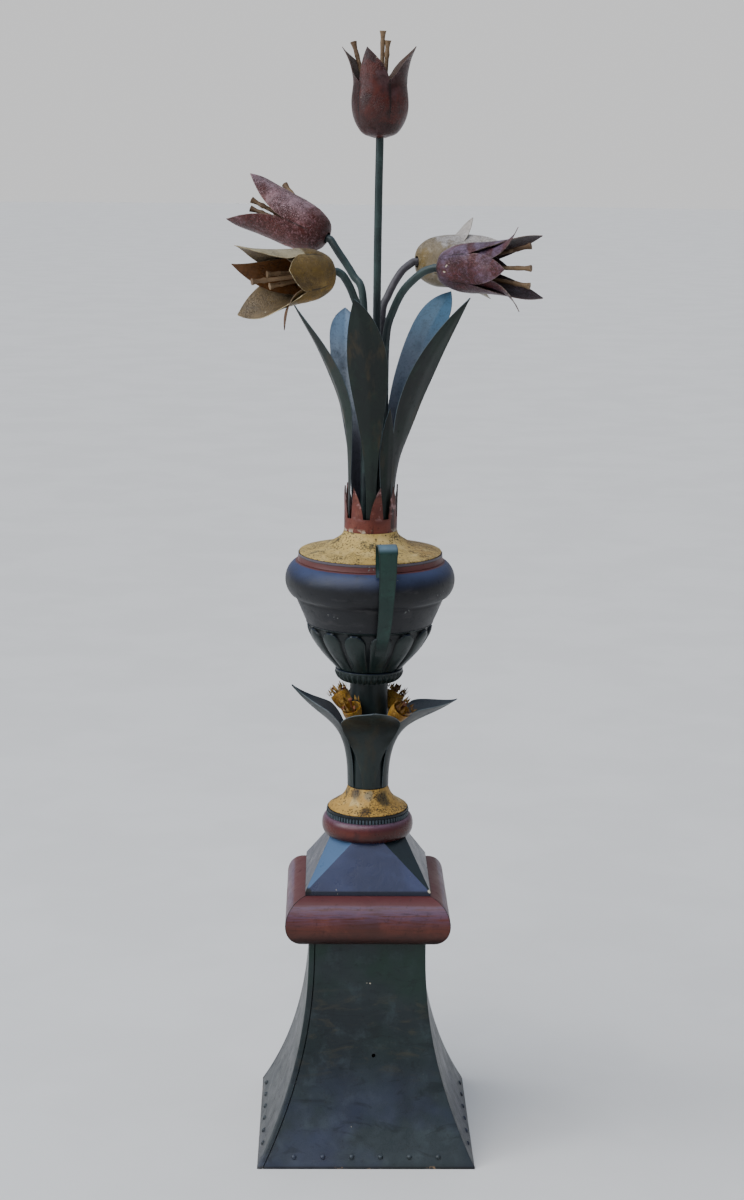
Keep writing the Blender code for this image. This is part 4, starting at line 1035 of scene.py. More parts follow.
def square_moulding():
    middle = MOULDING_SEAT_Z + MOULDING_HEIGHT / 2
    seat = NECK_HALF + GAP
    arc, span = 26, MOULDING_SPAN_DEG
    reach = math.sin(math.radians(span))
    outer = [(seat, MOULDING_SEAT_Z + MOULDING_HEIGHT)]
    for i in range(arc + 1):
        a = math.radians(span - 2 * span * i / arc)
        z = middle + MOULDING_HEIGHT / 2 * math.sin(a) / reach
        outer.append((NECK_HALF + MOULDING_REACH * math.cos(a), z))
    outer.append((seat, MOULDING_SEAT_Z))
    loop = wall_loop(outer, SHEET)
    size, count, columns = len(loop), len(outer), 30
    for quarter, side in enumerate(("front", "right", "back", "left")):
        points = []
        for k in range(columns + 1):
            share = 2.0 * k / columns - 1.0
            for half, z in loop:
                sway = noise.noise(Vector((share * 4.0, z * 30.0, quarter * 2.3))) * MOULDING_SWAY
                sway *= 1.0 - abs(share) ** 4
                x, y = turned(share * (half - GAP), -half - min(sway, 0.0), quarter)
                points.append((x, y, z))
        faces = hoops(columns + 1, size)
        last = columns * size
        for i in range(count - 1):
            j = size - 1 - i
            faces.append((i, j, j - 1, i + 1))
            faces.append((last + i, last + i + 1, last + j - 1, last + j))
        piece("moulding_strip_" + side, (points, faces, {}), MOULDING,
              ["square_moulding_" + side], 40.0)


def broach():
    seat = MOULDING_SEAT_Z + MOULDING_HEIGHT + GAP
    half = BROACH_HALF - SHEET / 2
    apothem = APOTHEM - SHEET / 2
    reach = apothem * math.tan(math.pi / 8)
    top = BROACH_TOP_Z - SHEET / 2
    rows, columns = 20, 20
    points, faces = [], []
    for q in range(4):
        low = [Vector((*turned(s * half, -half, q), seat + BROACH_LIP)) for s in (-1, 1)]
        high = [Vector((*turned(s * reach, -apothem, q), top)) for s in (-1, 1)]
        first = len(points)
        for j, z in enumerate((seat, seat + 0.5 * BROACH_LIP)):
            for i in range(columns + 1):
                x = mix(-half, half, i / columns)
                points.append(Vector((*turned(x, -half, q), z)))
        for j in range(rows + 1):
            a = low[0].lerp(high[0], j / rows)
            b = low[1].lerp(high[1], j / rows)
            for i in range(columns + 1):
                points.append(a.lerp(b, i / columns))
        faces += grid(rows + 3, columns + 1, first)
        corner = Vector((*turned(half, -half, q), seat + BROACH_LIP))
        far = Vector((*turned(-reach, -apothem, (q + 1) % 4), top))
        first = len(points)
        for j in range(rows + 1):
            a = corner.lerp(high[1], j / rows)
            b = corner.lerp(far, j / rows)
            for i in range(7):
                points.append(a.lerp(b, i / 6))
        faces += grid(rows + 1, 7, first)
    made = merged(points, faces)
    piece("broach_shell", shell(*made), BROACH, ["broach"], 12.0)


WELD = 1e-6
NEIGHBOURS = ((0, 0, 0), (1, 0, 0), (-1, 0, 0), (0, 1, 0), (0, -1, 0), (0, 0, 1), (0, 0, -1))


def merged(points, faces):
    """Weld points that lie on each other, and drop the faces that close up."""
    found, where, kept = {}, [], []
    for p in points:
        key = tuple(round(c / WELD) for c in p)
        for step in NEIGHBOURS:
            at = found.get(tuple(k + s for k, s in zip(key, step)))
            if at is not None:
                break
        else:
            at = found[key] = len(kept)
            kept.append(p)
        where.append(at)
    welded = []
    for face in faces:
        ring = []
        for i in face:
            if where[i] not in ring:
                ring.append(where[i])
        if len(ring) > 2:
            welded.append(tuple(ring))
    return kept, welded


# Turned pieces.

def turned_pieces():
    foot = BROACH_TOP_Z + GAP
    middle, swell = foot + RING_HEIGHT / 2, RING_RADIUS - RING_EDGE_RADIUS
    outer = [(RING_BORE, foot + RING_HEIGHT)]
    for i in range(19):
        a = math.radians(90.0 - 10.0 * i)
        outer.append((RING_EDGE_RADIUS + swell * math.cos(a),
                      middle + RING_HEIGHT / 2 * math.sin(a)))
    outer.append((RING_BORE, foot))
    piece("ring_roll", lathe(outer, 120), RING, ["round_moulding"], 40.0)

    low, high, inset = BAND_FOOT_Z, BAND_FOOT_Z + BAND_HEIGHT, BAND_RADIUS - BAND_STEP
    outer = [(BAND_RADIUS - BAND_EDGE, high), (BAND_RADIUS, high - BAND_EDGE),
             (BAND_RADIUS, high - BAND_COLLAR + BAND_EDGE / 2),
             (inset, high - BAND_COLLAR - BAND_EDGE / 2), (inset, low)]
    piece("band_hoop", lathe(outer, 120, 1.2 * SHEET), BAND, ["notched_band"])
    places, lies, faces = [], [], []
    for k in range(NOTCHES):
        a = 360.0 * k / NOTCHES
        places.append(polar(a, BAND_RADIUS - BAND_STEP / 2, low + TAB_RISE))
        lies.append(Vector((0.0, 0.0, 1.0)))
        faces.append(polar(a, 1.0, 0.0))
    grow("band_tabs", tab_recipe(TAB), point_mesh("tabs", places, lie=lies, face=faces),
         TAB)

    foot = SKIRT_FOOT_Z
    br, bz = SKIRT_BREAK
    stations = [(r, foot + share * SKIRT_HEIGHT) for r, share in SKIRT_LINE]
    outer = [tuple(p) for p in through(stations + [(br, foot + bz)], 6)]
    outer += [(mix(br, SKIRT_RADIUS, i / 8), foot + mix(bz, SKIRT_HEM, i / 8))
              for i in range(1, 9)]
    outer.append((SKIRT_RADIUS, foot))
    piece("skirt", lathe(outer, 120), SKIRT, ["foot_skirt"])

    outer = [(STEM_RADIUS, mix(STEM_TOP_Z, STEM_FOOT_Z, i / 24)) for i in range(25)]
    piece("stem", lathe(outer, 64), STEM, ["stem_tube"])

    (r0, z0), (r1, z1) = CRIMP_FOOT, CRIMP_TOP
    stations = [(r1, z1 - SHEET), (mix(r0, r1, 0.93), mix(z0, z1, 0.72)),
                (mix(r0, r1, 0.72), mix(z0, z1, 0.42)), (r0, z0)]
    outer = [(r1 - 3 * SHEET, z1), (r1 - SHEET, z1 - 0.2 * SHEET)]
    outer += [tuple(p) for p in through(stations, 7)]
    outer.append((STEM_RADIUS + 2 * GAP, z0))
    points, faces, _ = lathe(outer, CRIMP_STEPS * CRIMPS)
    grow("crimped_hoop", crimp_recipe(CUP), plain_mesh("crimp_blank", points, faces), CUP,
         ["crimped_band"], 60.0)


def tongue_press(angle, z):
    """Depth of the tongues: full and round-topped, with a valley between two."""
    t = (z - CUP_FOOT[1]) / (CUP_RIM[1] - CUP_FOOT[1])
    pitch = 360.0 / TONGUES
    off = ((angle + 90.0 - TONGUE_TURN_DEG + pitch / 2) % pitch) - pitch / 2
    u = abs(off) / (pitch / 2)
    shoulder, crown = 0.70, 0.93
    width = 0.86
    if t > shoulder:
        width *= math.sqrt(max(1.0 - ((t - shoulder) / (crown - shoulder)) ** 2, 0.0))
    depth = mix(0.15, 1.0, ease((t + 0.12) / 0.5)) * TONGUE_DEPTH
    if t > crown:
        depth *= ease((1.0 - t) / (1.0 - crown))
    if u >= width:
        lobe = 0.0
    else:
        x = u / width
        lobe = 0.30 + 0.70 * math.sqrt(1.0 - x * x) if x < 0.94 else (
            0.30 + 0.70 * math.sqrt(1.0 - 0.94**2)) * ease((1.0 - x) / 0.06)
    return -depth * (1.0 - lobe)


def cup_and_urn():
    (r0, z0), (r1, z1) = CUP_FOOT, CUP_RIM
    rise, swell = z1 - z0, r1 - r0
    stations = [(r1 - SHEET, z1 - 0.09 * rise), (r0 + 0.90 * swell, z1 - 0.26 * rise),
                (r0 + 0.56 * swell, z1 - 0.60 * rise), (r0, z0 + SHEET)]
    outer = [(r1, z1), (r1 - 0.0002, z1 - 0.02 * rise), (r1 - 0.0005, z1 - 0.05 * rise)]
    outer += [tuple(p) for p in through(stations, 18)]
    outer.append((r0 - 5 * SHEET, z0))
    points, faces, _ = lathe(outer, TONGUES * 28, press=tongue_press)
    valley = [-tongue_press(math.degrees(math.atan2(p.y, p.x)), p.z) / TONGUE_DEPTH
              for p in points]
    piece("tongue_cup", (points, faces, {"valley": valley}), CUP, ["gadroon_cup"],
          45.0)

    centre = BULGE[0] - BULGE_DEPTH
    r, z = BOWL_RIM
    outer = [(r - 0.0004, z), (r + 0.0001, z - 0.0004), (r, z - 0.0022), (r + 0.0004, z - 0.0055),
             (r + SHEET, z - 0.0090), (r + SHEET + 0.0004, z - 0.0100)]
    for i in range(27):
        a = math.radians(76.0 - 124.0 * i / 26)
        outer.append((centre + BULGE_DEPTH * math.cos(a),
                      BULGE[1] + BULGE_HALF_HEIGHT * math.sin(a)))
    (pr, pz), (fr, fz) = PINCH, BOWL_FOOT
    outer += [(pr + 0.0014, pz + 0.0036), (pr + 0.0005, pz + 0.0016), (pr + 0.0004, pz),
              (pr, pz - 0.0012)]
    outer += [(mix(pr, fr, i / 8), mix(pz - 0.0012, fz, i / 8)) for i in range(1, 9)]
    outer.append((fr - 0.0120, fz))
    piece("urn_body", lathe(outer, 160), URN, ["urn_bowl"], 40.0)

    foot = BOWL_RIM[1] + GAP
    tr, tz = SHOULDER_TOP
    br, bz = SHOULDER_BREAK
    stations = [(tr, tz - SHEET), (tr + 2 * SHEET, mix(SHOULDER_BEND[1], tz, 0.45)),
                SHOULDER_BEND, SHOULDER_BREAK]
    outer = [(tr - 2 * SHEET, tz), (tr - 0.0004, tz - 0.0003)]
    outer += [tuple(p) for p in through(stations, 6)]
    outer += [(mix(br, SHOULDER_RIM, i / 10), mix(bz, foot + 1.6 * SHEET, i / 10))
              for i in range(1, 11)]
    outer.append((SHOULDER_RIM, foot))
    piece("shoulder", lathe(outer, 120), SHOULDER, ["urn_shoulder"])


def collar():
    """A band whose top edge is cut into pointed teeth, each bent its own way."""
    mid = COLLAR_RADIUS - SHEET / 2
    top = COLLAR_FOOT_Z + COLLAR_BAND
    pitch = 360.0 / COLLAR_TEETH
    per, rows = 12, 5
    half = TOOTH_SHARE * pitch
    around = []
    for k in range(COLLAR_TEETH):
        middle = COLLAR_TURN_DEG - 90.0 + k * pitch
        around += [(middle, mix(-half, half, i / per)) for i in range(per + 1)]
        around += [(middle, mix(half, pitch - half, i / 4)) for i in range(1, 4)]
    points, edge = [], []
    n = len(around)
    for j in range(rows):
        for middle, off in around:
            points.append(polar(middle + off, mid, mix(COLLAR_FOOT_Z, top, j / (rows - 1))))
            edge.append(0.0)
    faces = hoops(rows, n)
    rim = (rows - 1) * n
    for k in range(COLLAR_TEETH):
        below = [rim + k * (per + 4) + i for i in range(per + 1)]
        middle = COLLAR_TURN_DEG - 90.0 + k * pitch
        lean = TOOTH_LEAN_DEG * math.sin(2.4 * k + 1.0)
        steps = 10
        for j in range(1, steps + 1):
            t = j / steps
            width = max(1.0 - t**1.7, 0.02)
            z = top + TOOTH_RISE * t
            row = []
            for i in range(per + 1):
                side = 2.0 * i / per - 1.0
                off = side * half * width + lean * t * t
                curl = 0.0012 * t * t - 0.0010 * (1.0 - abs(side)) * t
                row.append(len(points))
                points.append(polar(middle + off, mid + curl, z))
                edge.append(abs(side) ** 3 * min(t * 6.0, 1.0))
            faces += [(below[i], below[i + 1], row[i + 1], row[i]) for i in range(per)]
            below = row
    points, faces, marks = shell(points, faces, {"edge": edge})
    piece("collar_crown", (points, faces, marks), COLLAR, ["collar"], 50.0)


# Handles.

def handles():
    inner, outer, top = HANDLE_INNER, HANDLE_OUTER, HANDLE_TOP_Z
    clear = BULGE[0] + 2 * STRAP
    path = [
        (inner + 0.0052, HANDLE_HOOK_Z), (inner + 0.0012, HANDLE_HOOK_Z + 0.0120),
        (inner, HANDLE_HOOK_Z + 0.0300), (inner + 0.0016, top - 0.0045), (inner + 0.0060, top),
        (outer - 0.0060, top - 0.0016), (outer - 0.0010, top - 0.0060), (outer, top - 0.0150),
        (outer - 0.0015, top - 0.0400), (clear + 0.0015, BULGE[1]),
        (PINCH[0] + 0.0135, PINCH[1]), (CUP_RIM[0] + 0.0120, CUP_RIM[1]),
        (CUP_RIM[0] + 0.0015, CUP_RIM[1] - 0.0150), *HANDLE_FOOT]
    per, columns = 6, 9
    fine = through(path, per)
    for side, turn in (("front", 0.0), ("back", 180.0)):
        a = math.radians(HANDLE_AZIMUTH_DEG + turn)
        across = Vector((-math.sin(a), math.cos(a), 0.0))
        points, edge = [], []
        for j, (r, z) in enumerate(fine):
            share = max(j / per - 6, 0) / (len(path) - 7)
            half = mix(STRAP_HALF_TOP, STRAP_HALF_FOOT, share)
            middle = polar(HANDLE_AZIMUTH_DEG + turn, r, z)
            for i in range(columns):
                s = 2.0 * i / (columns - 1) - 1.0
                points.append(middle + across * half * s)
                edge.append(abs(s) ** 4)
        made = shell(points, grid(len(fine), columns), {"edge": edge}, STRAP)
        piece("handle_strap_" + side, made, HANDLE, ["handle_" + side])


# Leaves.

def blade(name, spine, outward, half_widths, wraps, fold, columns, finish, nodes, ripple):
    """A leaf along its spine: wrapped at the foot, folded along its rib above."""
    points, edge, along_marks, rib = [], [], [], []
    last = len(spine) - 1
    for j, middle in enumerate(spine):
        along = (spine[min(j + 1, last)] - spine[max(j - 1, 0)]).normalized()
        side = along.cross(outward[j]).normalized()
        normal = side.cross(along).normalized()
        radius, share = wraps[j]
        half = max(half_widths[j], 0.0004)
        for i in range(columns):
            t = -1.0 + 2.0 * i / (columns - 1)
            u = t * half
            angle = u / radius
            lie = radius * math.sin(angle) * (1 - share) + u * math.cos(math.atan(fold)) * share
            drop = radius * (1.0 - math.cos(angle)) * (1 - share)
            soft = math.sqrt(u * u + 0.0012**2) - 0.0012
            drop += soft * fold * share
            sway = noise.noise(middle * 14.0 + Vector((t, t, 0.0))) * ripple * abs(t) * share
            points.append(middle + side * lie - normal * (drop + sway))
            edge.append(abs(t) ** 6)
            along_marks.append(j / last)
            rib.append(max(1.0 - abs(u) / 0.0022, 0.0))
    marks = {"edge": edge, "along": along_marks, "rib": rib}
    made = shell(points, grid(len(spine), columns), marks)
    return piece(name, made, finish, nodes, 40.0)


def blade_width(s, base, widest, at, sharp, late=1.0):
    if s < at:
        return mix(base, widest, ease((s / at) ** late))
    return widest * max(1.0 - ((s - at) / (1.0 - at)) ** sharp, 0.0)


STEM_LEAVES = {
    "front": dict(azimuth=-88.0, reach=0.1120, tip_rise=0.1295, hold=0.0920,
                  pull=(0.0500, 0.0190), fold=0.06, widest=0.0405, swell=0.14, at=0.50,
                  foot_share=0.40),
    "right": dict(azimuth=-1.3, reach=0.1215, tip_rise=0.1225, hold=0.1020,
                  pull=(0.0515, 0.0390), fold=0.50, widest=0.0390, swell=0.32, at=0.45),
    "back": dict(azimuth=88.7, reach=0.1080, tip_rise=0.1380, hold=0.0860,
                 pull=(0.0460, 0.0420), fold=0.36, widest=0.0370, swell=0.30, at=0.45),
    "left": dict(azimuth=178.7, reach=0.1060, tip_rise=0.1400, hold=0.1020,
                 pull=(0.0450, 0.0600), fold=0.46, widest=0.0335, swell=0.32, at=0.45),
}


def stem_leaves():
    foot_r = STEM_RADIUS + SHEET / 2 + 5 * GAP
    wrap, waist = 0.0216, 0.0228
    for side, leaf in STEM_LEAVES.items():
        foot = Vector((foot_r, STEM_LEAF_FOOT_Z))
        tip = Vector((leaf["reach"], STEM_LEAF_FOOT_Z + leaf["tip_rise"]))
        hold = foot + Vector((0.0, leaf["hold"]))
        flat = bezier(foot, hold, tip - Vector(leaf["pull"]), tip, 49)
        spine = [polar(leaf["azimuth"], p.x, p.y) for p in flat]
        outward = [polar(leaf["azimuth"], 1.0, -0.3)] * len(flat)
        widths, wraps = [], []
        for j in range(len(flat)):
            s = j / (len(flat) - 1)
            swell = leaf["swell"]
            narrow = mix(wrap, waist, ease(s / swell))
            taper = mix(leaf.get("foot_share", 1.0), 1.0, ease(s / 0.30))
            widths.append(taper * (narrow if s < swell else blade_width(
                (s - swell) / (1.0 - swell), waist, leaf["widest"], leaf["at"], 1.35)))
            wraps.append((foot_r, ease((s - swell + 0.05) / 0.30)))
        blade("stem_foliage_" + side, spine, outward, widths, wraps,
              leaf["fold"], 21, STEM_LEAF, ["stem_leaf_" + side], 0.0022)


BUNCH_LEAVES = {
    "front": dict(foot=(-0.0005, -0.0302), rise=0.110, tip=(-0.0268, -0.0944, 1.1808),
                  pull=(-0.0238, -0.0104, 0.0558), width=1.0, widest=0.64, blunt=1.8, turn=0.0,
                  foot_half=0.0062, late=1.5),
    "left": dict(foot=(-0.0302, 0.0005), rise=0.165, tip=(-0.1046, 0.0023, 1.1654),
                 pull=(-0.0711, 0.0000, 0.1194), width=0.80, widest=0.62, blunt=1.6, turn=22.0),
    "back_left": dict(foot=(-0.0178, 0.0245), rise=0.110, tip=(-0.0360, 0.0808, 1.1560),
                      pull=(0.0042, 0.0288, 0.0728), width=0.80, widest=0.78, blunt=3.4,
                      turn=-20.0, late=1.8),
    "back_right": dict(foot=(0.0225, 0.0202), rise=0.110, tip=(0.1068, 0.0677, 1.1804),
                       pull=(0.0468, 0.0197, 0.0704), width=1.00, widest=0.74, blunt=3.2,
                       turn=14.0),
    "right": dict(foot=(0.0302, -0.0010), rise=0.120, tip=(0.1288, -0.0028, 1.1768),
                  pull=(0.0788, -0.0008, 0.1108), width=0.90, widest=0.62, blunt=1.8,
                  turn=-38.0, fold=0.10),
    "small": dict(foot=(0.0202, -0.0225), rise=0.055, tip=(0.0232, -0.0370, 1.0331),
                  pull=(0.0020, -0.0080, 0.0480), width=0.42, widest=0.60, blunt=1.8, turn=0.0),
}


def bunch_leaves():
    for side, leaf in BUNCH_LEAVES.items():
        foot = Vector((*leaf["foot"], BUNCH_FOOT_Z))
        tip = Vector(leaf["tip"])
        hold = foot + Vector((0.0, 0.0, leaf["rise"]))
        spine = bezier(foot, hold, tip - Vector(leaf["pull"]), tip, 61)
        out = Vector((*leaf["foot"], 0.0)).normalized()
        away = Vector((tip.x, tip.y, 0.0)).normalized()
        widest = BUNCH_LEAF_HALF * leaf["width"]
        base = leaf.get("foot_half", min(BUNCH_FOOT_HALF, 0.62 * widest))
        outward, widths, wraps = [], [], []
        for j in range(len(spine)):
            s = j / (len(spine) - 1)
            turn = Matrix.Rotation(math.radians(leaf["turn"]) * ease(s / 0.5), 3, "Z")
            outward.append(turn @ (out.lerp(away, ease(s))).normalized())
            widths.append(blade_width(s, base, widest, leaf["widest"], leaf["blunt"],
                                      leaf.get("late", 1.0)))
            wraps.append((BUNCH_WRAP_RADIUS, ease((s - 0.05) / 0.35)))
        finish = {"back_left": PALE_LEAF, "back_right": BLUE_LEAF}.get(side, LONG_LEAF)
        blade("bunch_leaf_" + side, spine, outward,
              widths, wraps, leaf.get("fold", 0.22), 17, finish, ["long_leaf_" + side], 0.0016)


# Small flowers on the stem.

def frame_of(axis, roll_deg):
    """Two directions square to an axis; roll zero faces the camera side."""
    toward = Vector((0.0, -1.0, 0.0))
    if abs(axis.dot(toward)) > 0.95:
        toward = Vector((0.0, 0.0, 1.0))
    first = (toward - axis * toward.dot(axis)).normalized()
    second = axis.cross(first)
    a = math.radians(roll_deg)
    return spoke(first, second, a), spoke(second, -first, a)


FLORETS = {
    "front_left": dict(azimuth=-123.0, foot_r=0.0345, foot_z=0.6030, mouth_r=0.0480),
    "front_right": dict(azimuth=-38.5, foot_r=0.0400, foot_z=0.6045, mouth_r=0.0610),
    "back_right": dict(azimuth=36.9, foot_r=0.0330, foot_z=0.6080, mouth_r=0.0500),
    "back_left": dict(azimuth=143.7, foot_r=0.0350, foot_z=0.6080, mouth_r=0.0540),
}
FLORET_RADIUS = 0.0136
FLORET_LENGTH = 0.0300
FLORET_SHEET = 0.0009
FRINGE_TEETH = 15


def florets():
    """Small bells with a ragged fringe, a second fringe inside, and pistils."""
    r, length = FLORET_RADIUS, FLORET_LENGTH
    outer_fringe = tooth_recipe(FRINGE, 0.0056, 0.0090)
    inner_fringe = tooth_recipe(FRINGE, 0.0040, 0.0110)
    for side, place in FLORETS.items():
        run = place["mouth_r"] - place["foot_r"]
        rise = math.sqrt(length**2 - run**2)
        foot = polar(place["azimuth"], place["foot_r"], place["foot_z"])
        mouth = polar(place["azimuth"], place["mouth_r"], place["foot_z"] + rise)
        axis = (mouth - foot).normalized()
        u, v = frame_of(axis, 0.0)
        profile = through([(0.06 * r, 0.0), (0.52 * r, 0.05 * length), (0.80 * r, 0.28 * length),
                           (0.92 * r, 0.55 * length), (0.95 * r, 0.80 * length)], 5)
        sides = 40
        points, edge = [], []
        for j, (radius, along) in enumerate(profile):
            for i in range(sides):
                a = math.tau * i / sides
                points.append(foot + axis * along + spoke(u, v, a) * radius)
                edge.append((j / (len(profile) - 1)) ** 8)
        bell = shell(points, hoops(len(profile), sides), {"edge": edge}, FLORET_SHEET)
        plug = rod([foot - axis * 0.001, foot + axis * 0.002], [0.06 * r] * 2, 12, u)
        piece("floret_bell_" + side, joined(bell, plug), FLORET,
              ["floret_" + side], 40.0)
        for name, recipe, teeth, radius, along, splay in (
                ("outer", outer_fringe, FRINGE_TEETH, 0.95 * r, 0.80 * length + 0.0040, 0.14),
                ("inner", inner_fringe, 9, 0.52 * r, 0.70 * length + 0.0045, 0.10)):
            places, lies, faces = [], [], []
            for i in range(teeth):
                a = math.tau * (i + 0.3 * math.sin(2.0 * i)) / teeth
                away = spoke(u, v, a)
                lean = splay * (1.0 + 1.2 * math.sin(3.7 * i + place["azimuth"]))
                places.append(foot + axis * along + away * (radius + 0.0030 * lean))
                lies.append((axis + away * lean).normalized())
                faces.append(away)
            mesh = point_mesh("teeth", places, lie=lies, face=faces)
            grow("floret_fringe_" + name + "_" + side, recipe, mesh, FRINGE)
        pistils = []
        for i, (lean, reach) in enumerate(((0.10, 1.20), (0.42, 0.98), (0.36, 1.02))):
            a = 2.1 * i + place["azimuth"]
            away = spoke(u, v, a)
            end = foot + (axis + away * lean).normalized() * (length * reach)
            run = end - foot
            centres = [foot + run * s for s in (0.10, 0.60, 0.84, 0.93, 0.98, 1.0)]
            radii = [0.0011, 0.0011, 0.0013, 0.0024, 0.0031, 0.0029]
            pistils.append(rod(centres, radii, 12, u))
        piece("floret_pistils_" + side, joined(*pistils), PISTIL, (), 40.0)


# Tulips.

TULIPS = {
    "top": dict(
        base=(0.0066, -0.0001, 1.3835), heart=(0.0058, -0.0001, 1.4997),
        roll=0.0, inner_roll=40.0, notch=0.58, slot="tulip_red", cuts=(-50.5, 19.5, 172.0),
        stalk=((0.0055, 0.0, BUNCH_FOOT_Z), (0.0053, 0.0, 1.1728), (0.0058, 0.0, 1.3033)),
        outer=((0.985, 0.0320, -17.0, 1.0), (1.00, 0.0470, 1.5, 0.84), (0.99, 0.0490, 29.0, 0.62)),
        point=2.1,
        inner=((0.62, 0.0270, 0.0, 1.0), (0.62, 0.0270, 0.0, 1.0), (0.62, 0.0270, 0.0, 1.0)),
        stamens=((55.0, 0.0120, 1.060), (25.0, 0.0080, 1.163), (-125.0, 0.0420, 1.050))),
    "left_rear": dict(
        base=(-0.0616, 0.0614, 1.2505), heart=(-0.1798, 0.1140, 1.3033),
        roll=60.0, inner_roll=60.0, notch=0.36, slot="tulip_rose", belly=0.0335,
        stalk=((-0.0085, 0.0105, BUNCH_FOOT_Z), (-0.0095, 0.0130, 1.0500),
               (-0.0127, 0.0353, 1.1726), (-0.0263, 0.0456, 1.2024), (-0.0480, 0.0545, 1.2350)),
        outer=((0.94, 0.0390, 0.0, 1.0), (0.74, 0.0340, 0.0, 0.8), (0.976, 0.0400, 0.0, 1.0)),
        point=1.9,
        inner=((0.60, 0.0300, 0.0, 1.0), (0.60, 0.0300, 0.0, 1.0), (0.60, 0.0300, 0.0, 1.0)),
        stamens=((120.0, 0.0450, 0.690), (10.0, 0.0150, 0.830), (-35.0, 0.0150, 0.810))),
    "left_front": dict(
        base=(-0.0532, -0.0589, 1.2127), heart=(-0.1700, -0.1063, 1.2010),
        roll=0.0, inner_roll=60.0, notch=0.34, slot="tulip_ochre", belly=0.0350,
        cuts=(-30.0, 52.0, 160.0), point=1.8,
        stalk=((-0.0090, -0.0085, BUNCH_FOOT_Z), (-0.0100, -0.0100, 1.0500),
               (-0.0185, -0.0330, 1.1500), (-0.0274, -0.0444, 1.1836), (-0.0390, -0.0530, 1.2060)),
        outer=((0.60, 0.0430, 4.0, 1.15), (1.05, 0.0480, -22.0, 1.25), (0.97, 0.0580, -17.0, 0.85)),
        inner=((0.55, 0.0330, 0.0, 1.0), (0.98, 0.0360, -40.0, 1.0), (0.66, 0.0720, -2.0, 0.60)),
        stamens=((0.0, 0.0070, 0.910), (140.0, 0.0100, 0.700), (-100.0, 0.0090, 0.700))),
    "right_rear": dict(
        base=(0.0600, 0.0587, 1.2200), heart=(0.1700, 0.0962, 1.2210),
        roll=-30.0, inner_roll=-90.0, notch=0.40, slot="tulip_grey", belly=0.0350, inner_bend=1.9,
        stalk=((0.0160, 0.0110, BUNCH_FOOT_Z), (0.0150, 0.0160, 1.0500),
               (0.0128, 0.0280, 1.1480), (0.0218, 0.0390, 1.1780), (0.0380, 0.0490, 1.2060)),
        outer=((0.96, 0.0440, -3.0, 1.0), (0.93, 0.0520, 0.0, 1.1), (0.94, 0.0400, 0.0, 1.0)),
        inner=((0.66, 0.0580, 0.0, 0.95), (0.80, 0.0330, 0.0, 1.0), (0.80, 0.0330, 0.0, 1.0)),
        stamens=((90.0, 0.0150, 0.850), (-30.0, 0.0100, 0.840), (-150.0, 0.0100, 0.820))),
    "right_front": dict(
        base=(0.0831, -0.0618, 1.2194), heart=(0.2060, -0.1146, 1.2237),
        roll=0.0, inner_roll=60.0, notch=0.34, slot="tulip_purple", belly=0.0320,
        cuts=(-37.0, 34.0, 180.0),
        stalk=((0.0180, -0.0075, BUNCH_FOOT_Z), (0.0165, -0.0080, 1.0500),
               (0.0178, -0.0190, 1.1280), (0.0262, -0.0300, 1.1620),
               (0.0400, -0.0440, 1.1905), (0.0620, -0.0556, 1.2125)),
        outer=((0.80, 0.0500, 0.0, 1.2), (1.008, 0.0445, 10.0, 0.9), (1.008, 0.0445, -9.0, 0.9)),
        inner=((0.86, 0.0610, 0.0, 0.85), (0.60, 0.0300, 0.0, 1.0), (0.86, 0.0610, 0.0, 0.85)),
        stamens=((90.0, 0.0230, 0.925), (0.0, 0.0080, 0.960), (-100.0, 0.0280, 0.930))),
}
PER_PETAL = 18
PETAL_ROWS = 22
EVEN_CUTS = (-60.0, 60.0, 180.0)


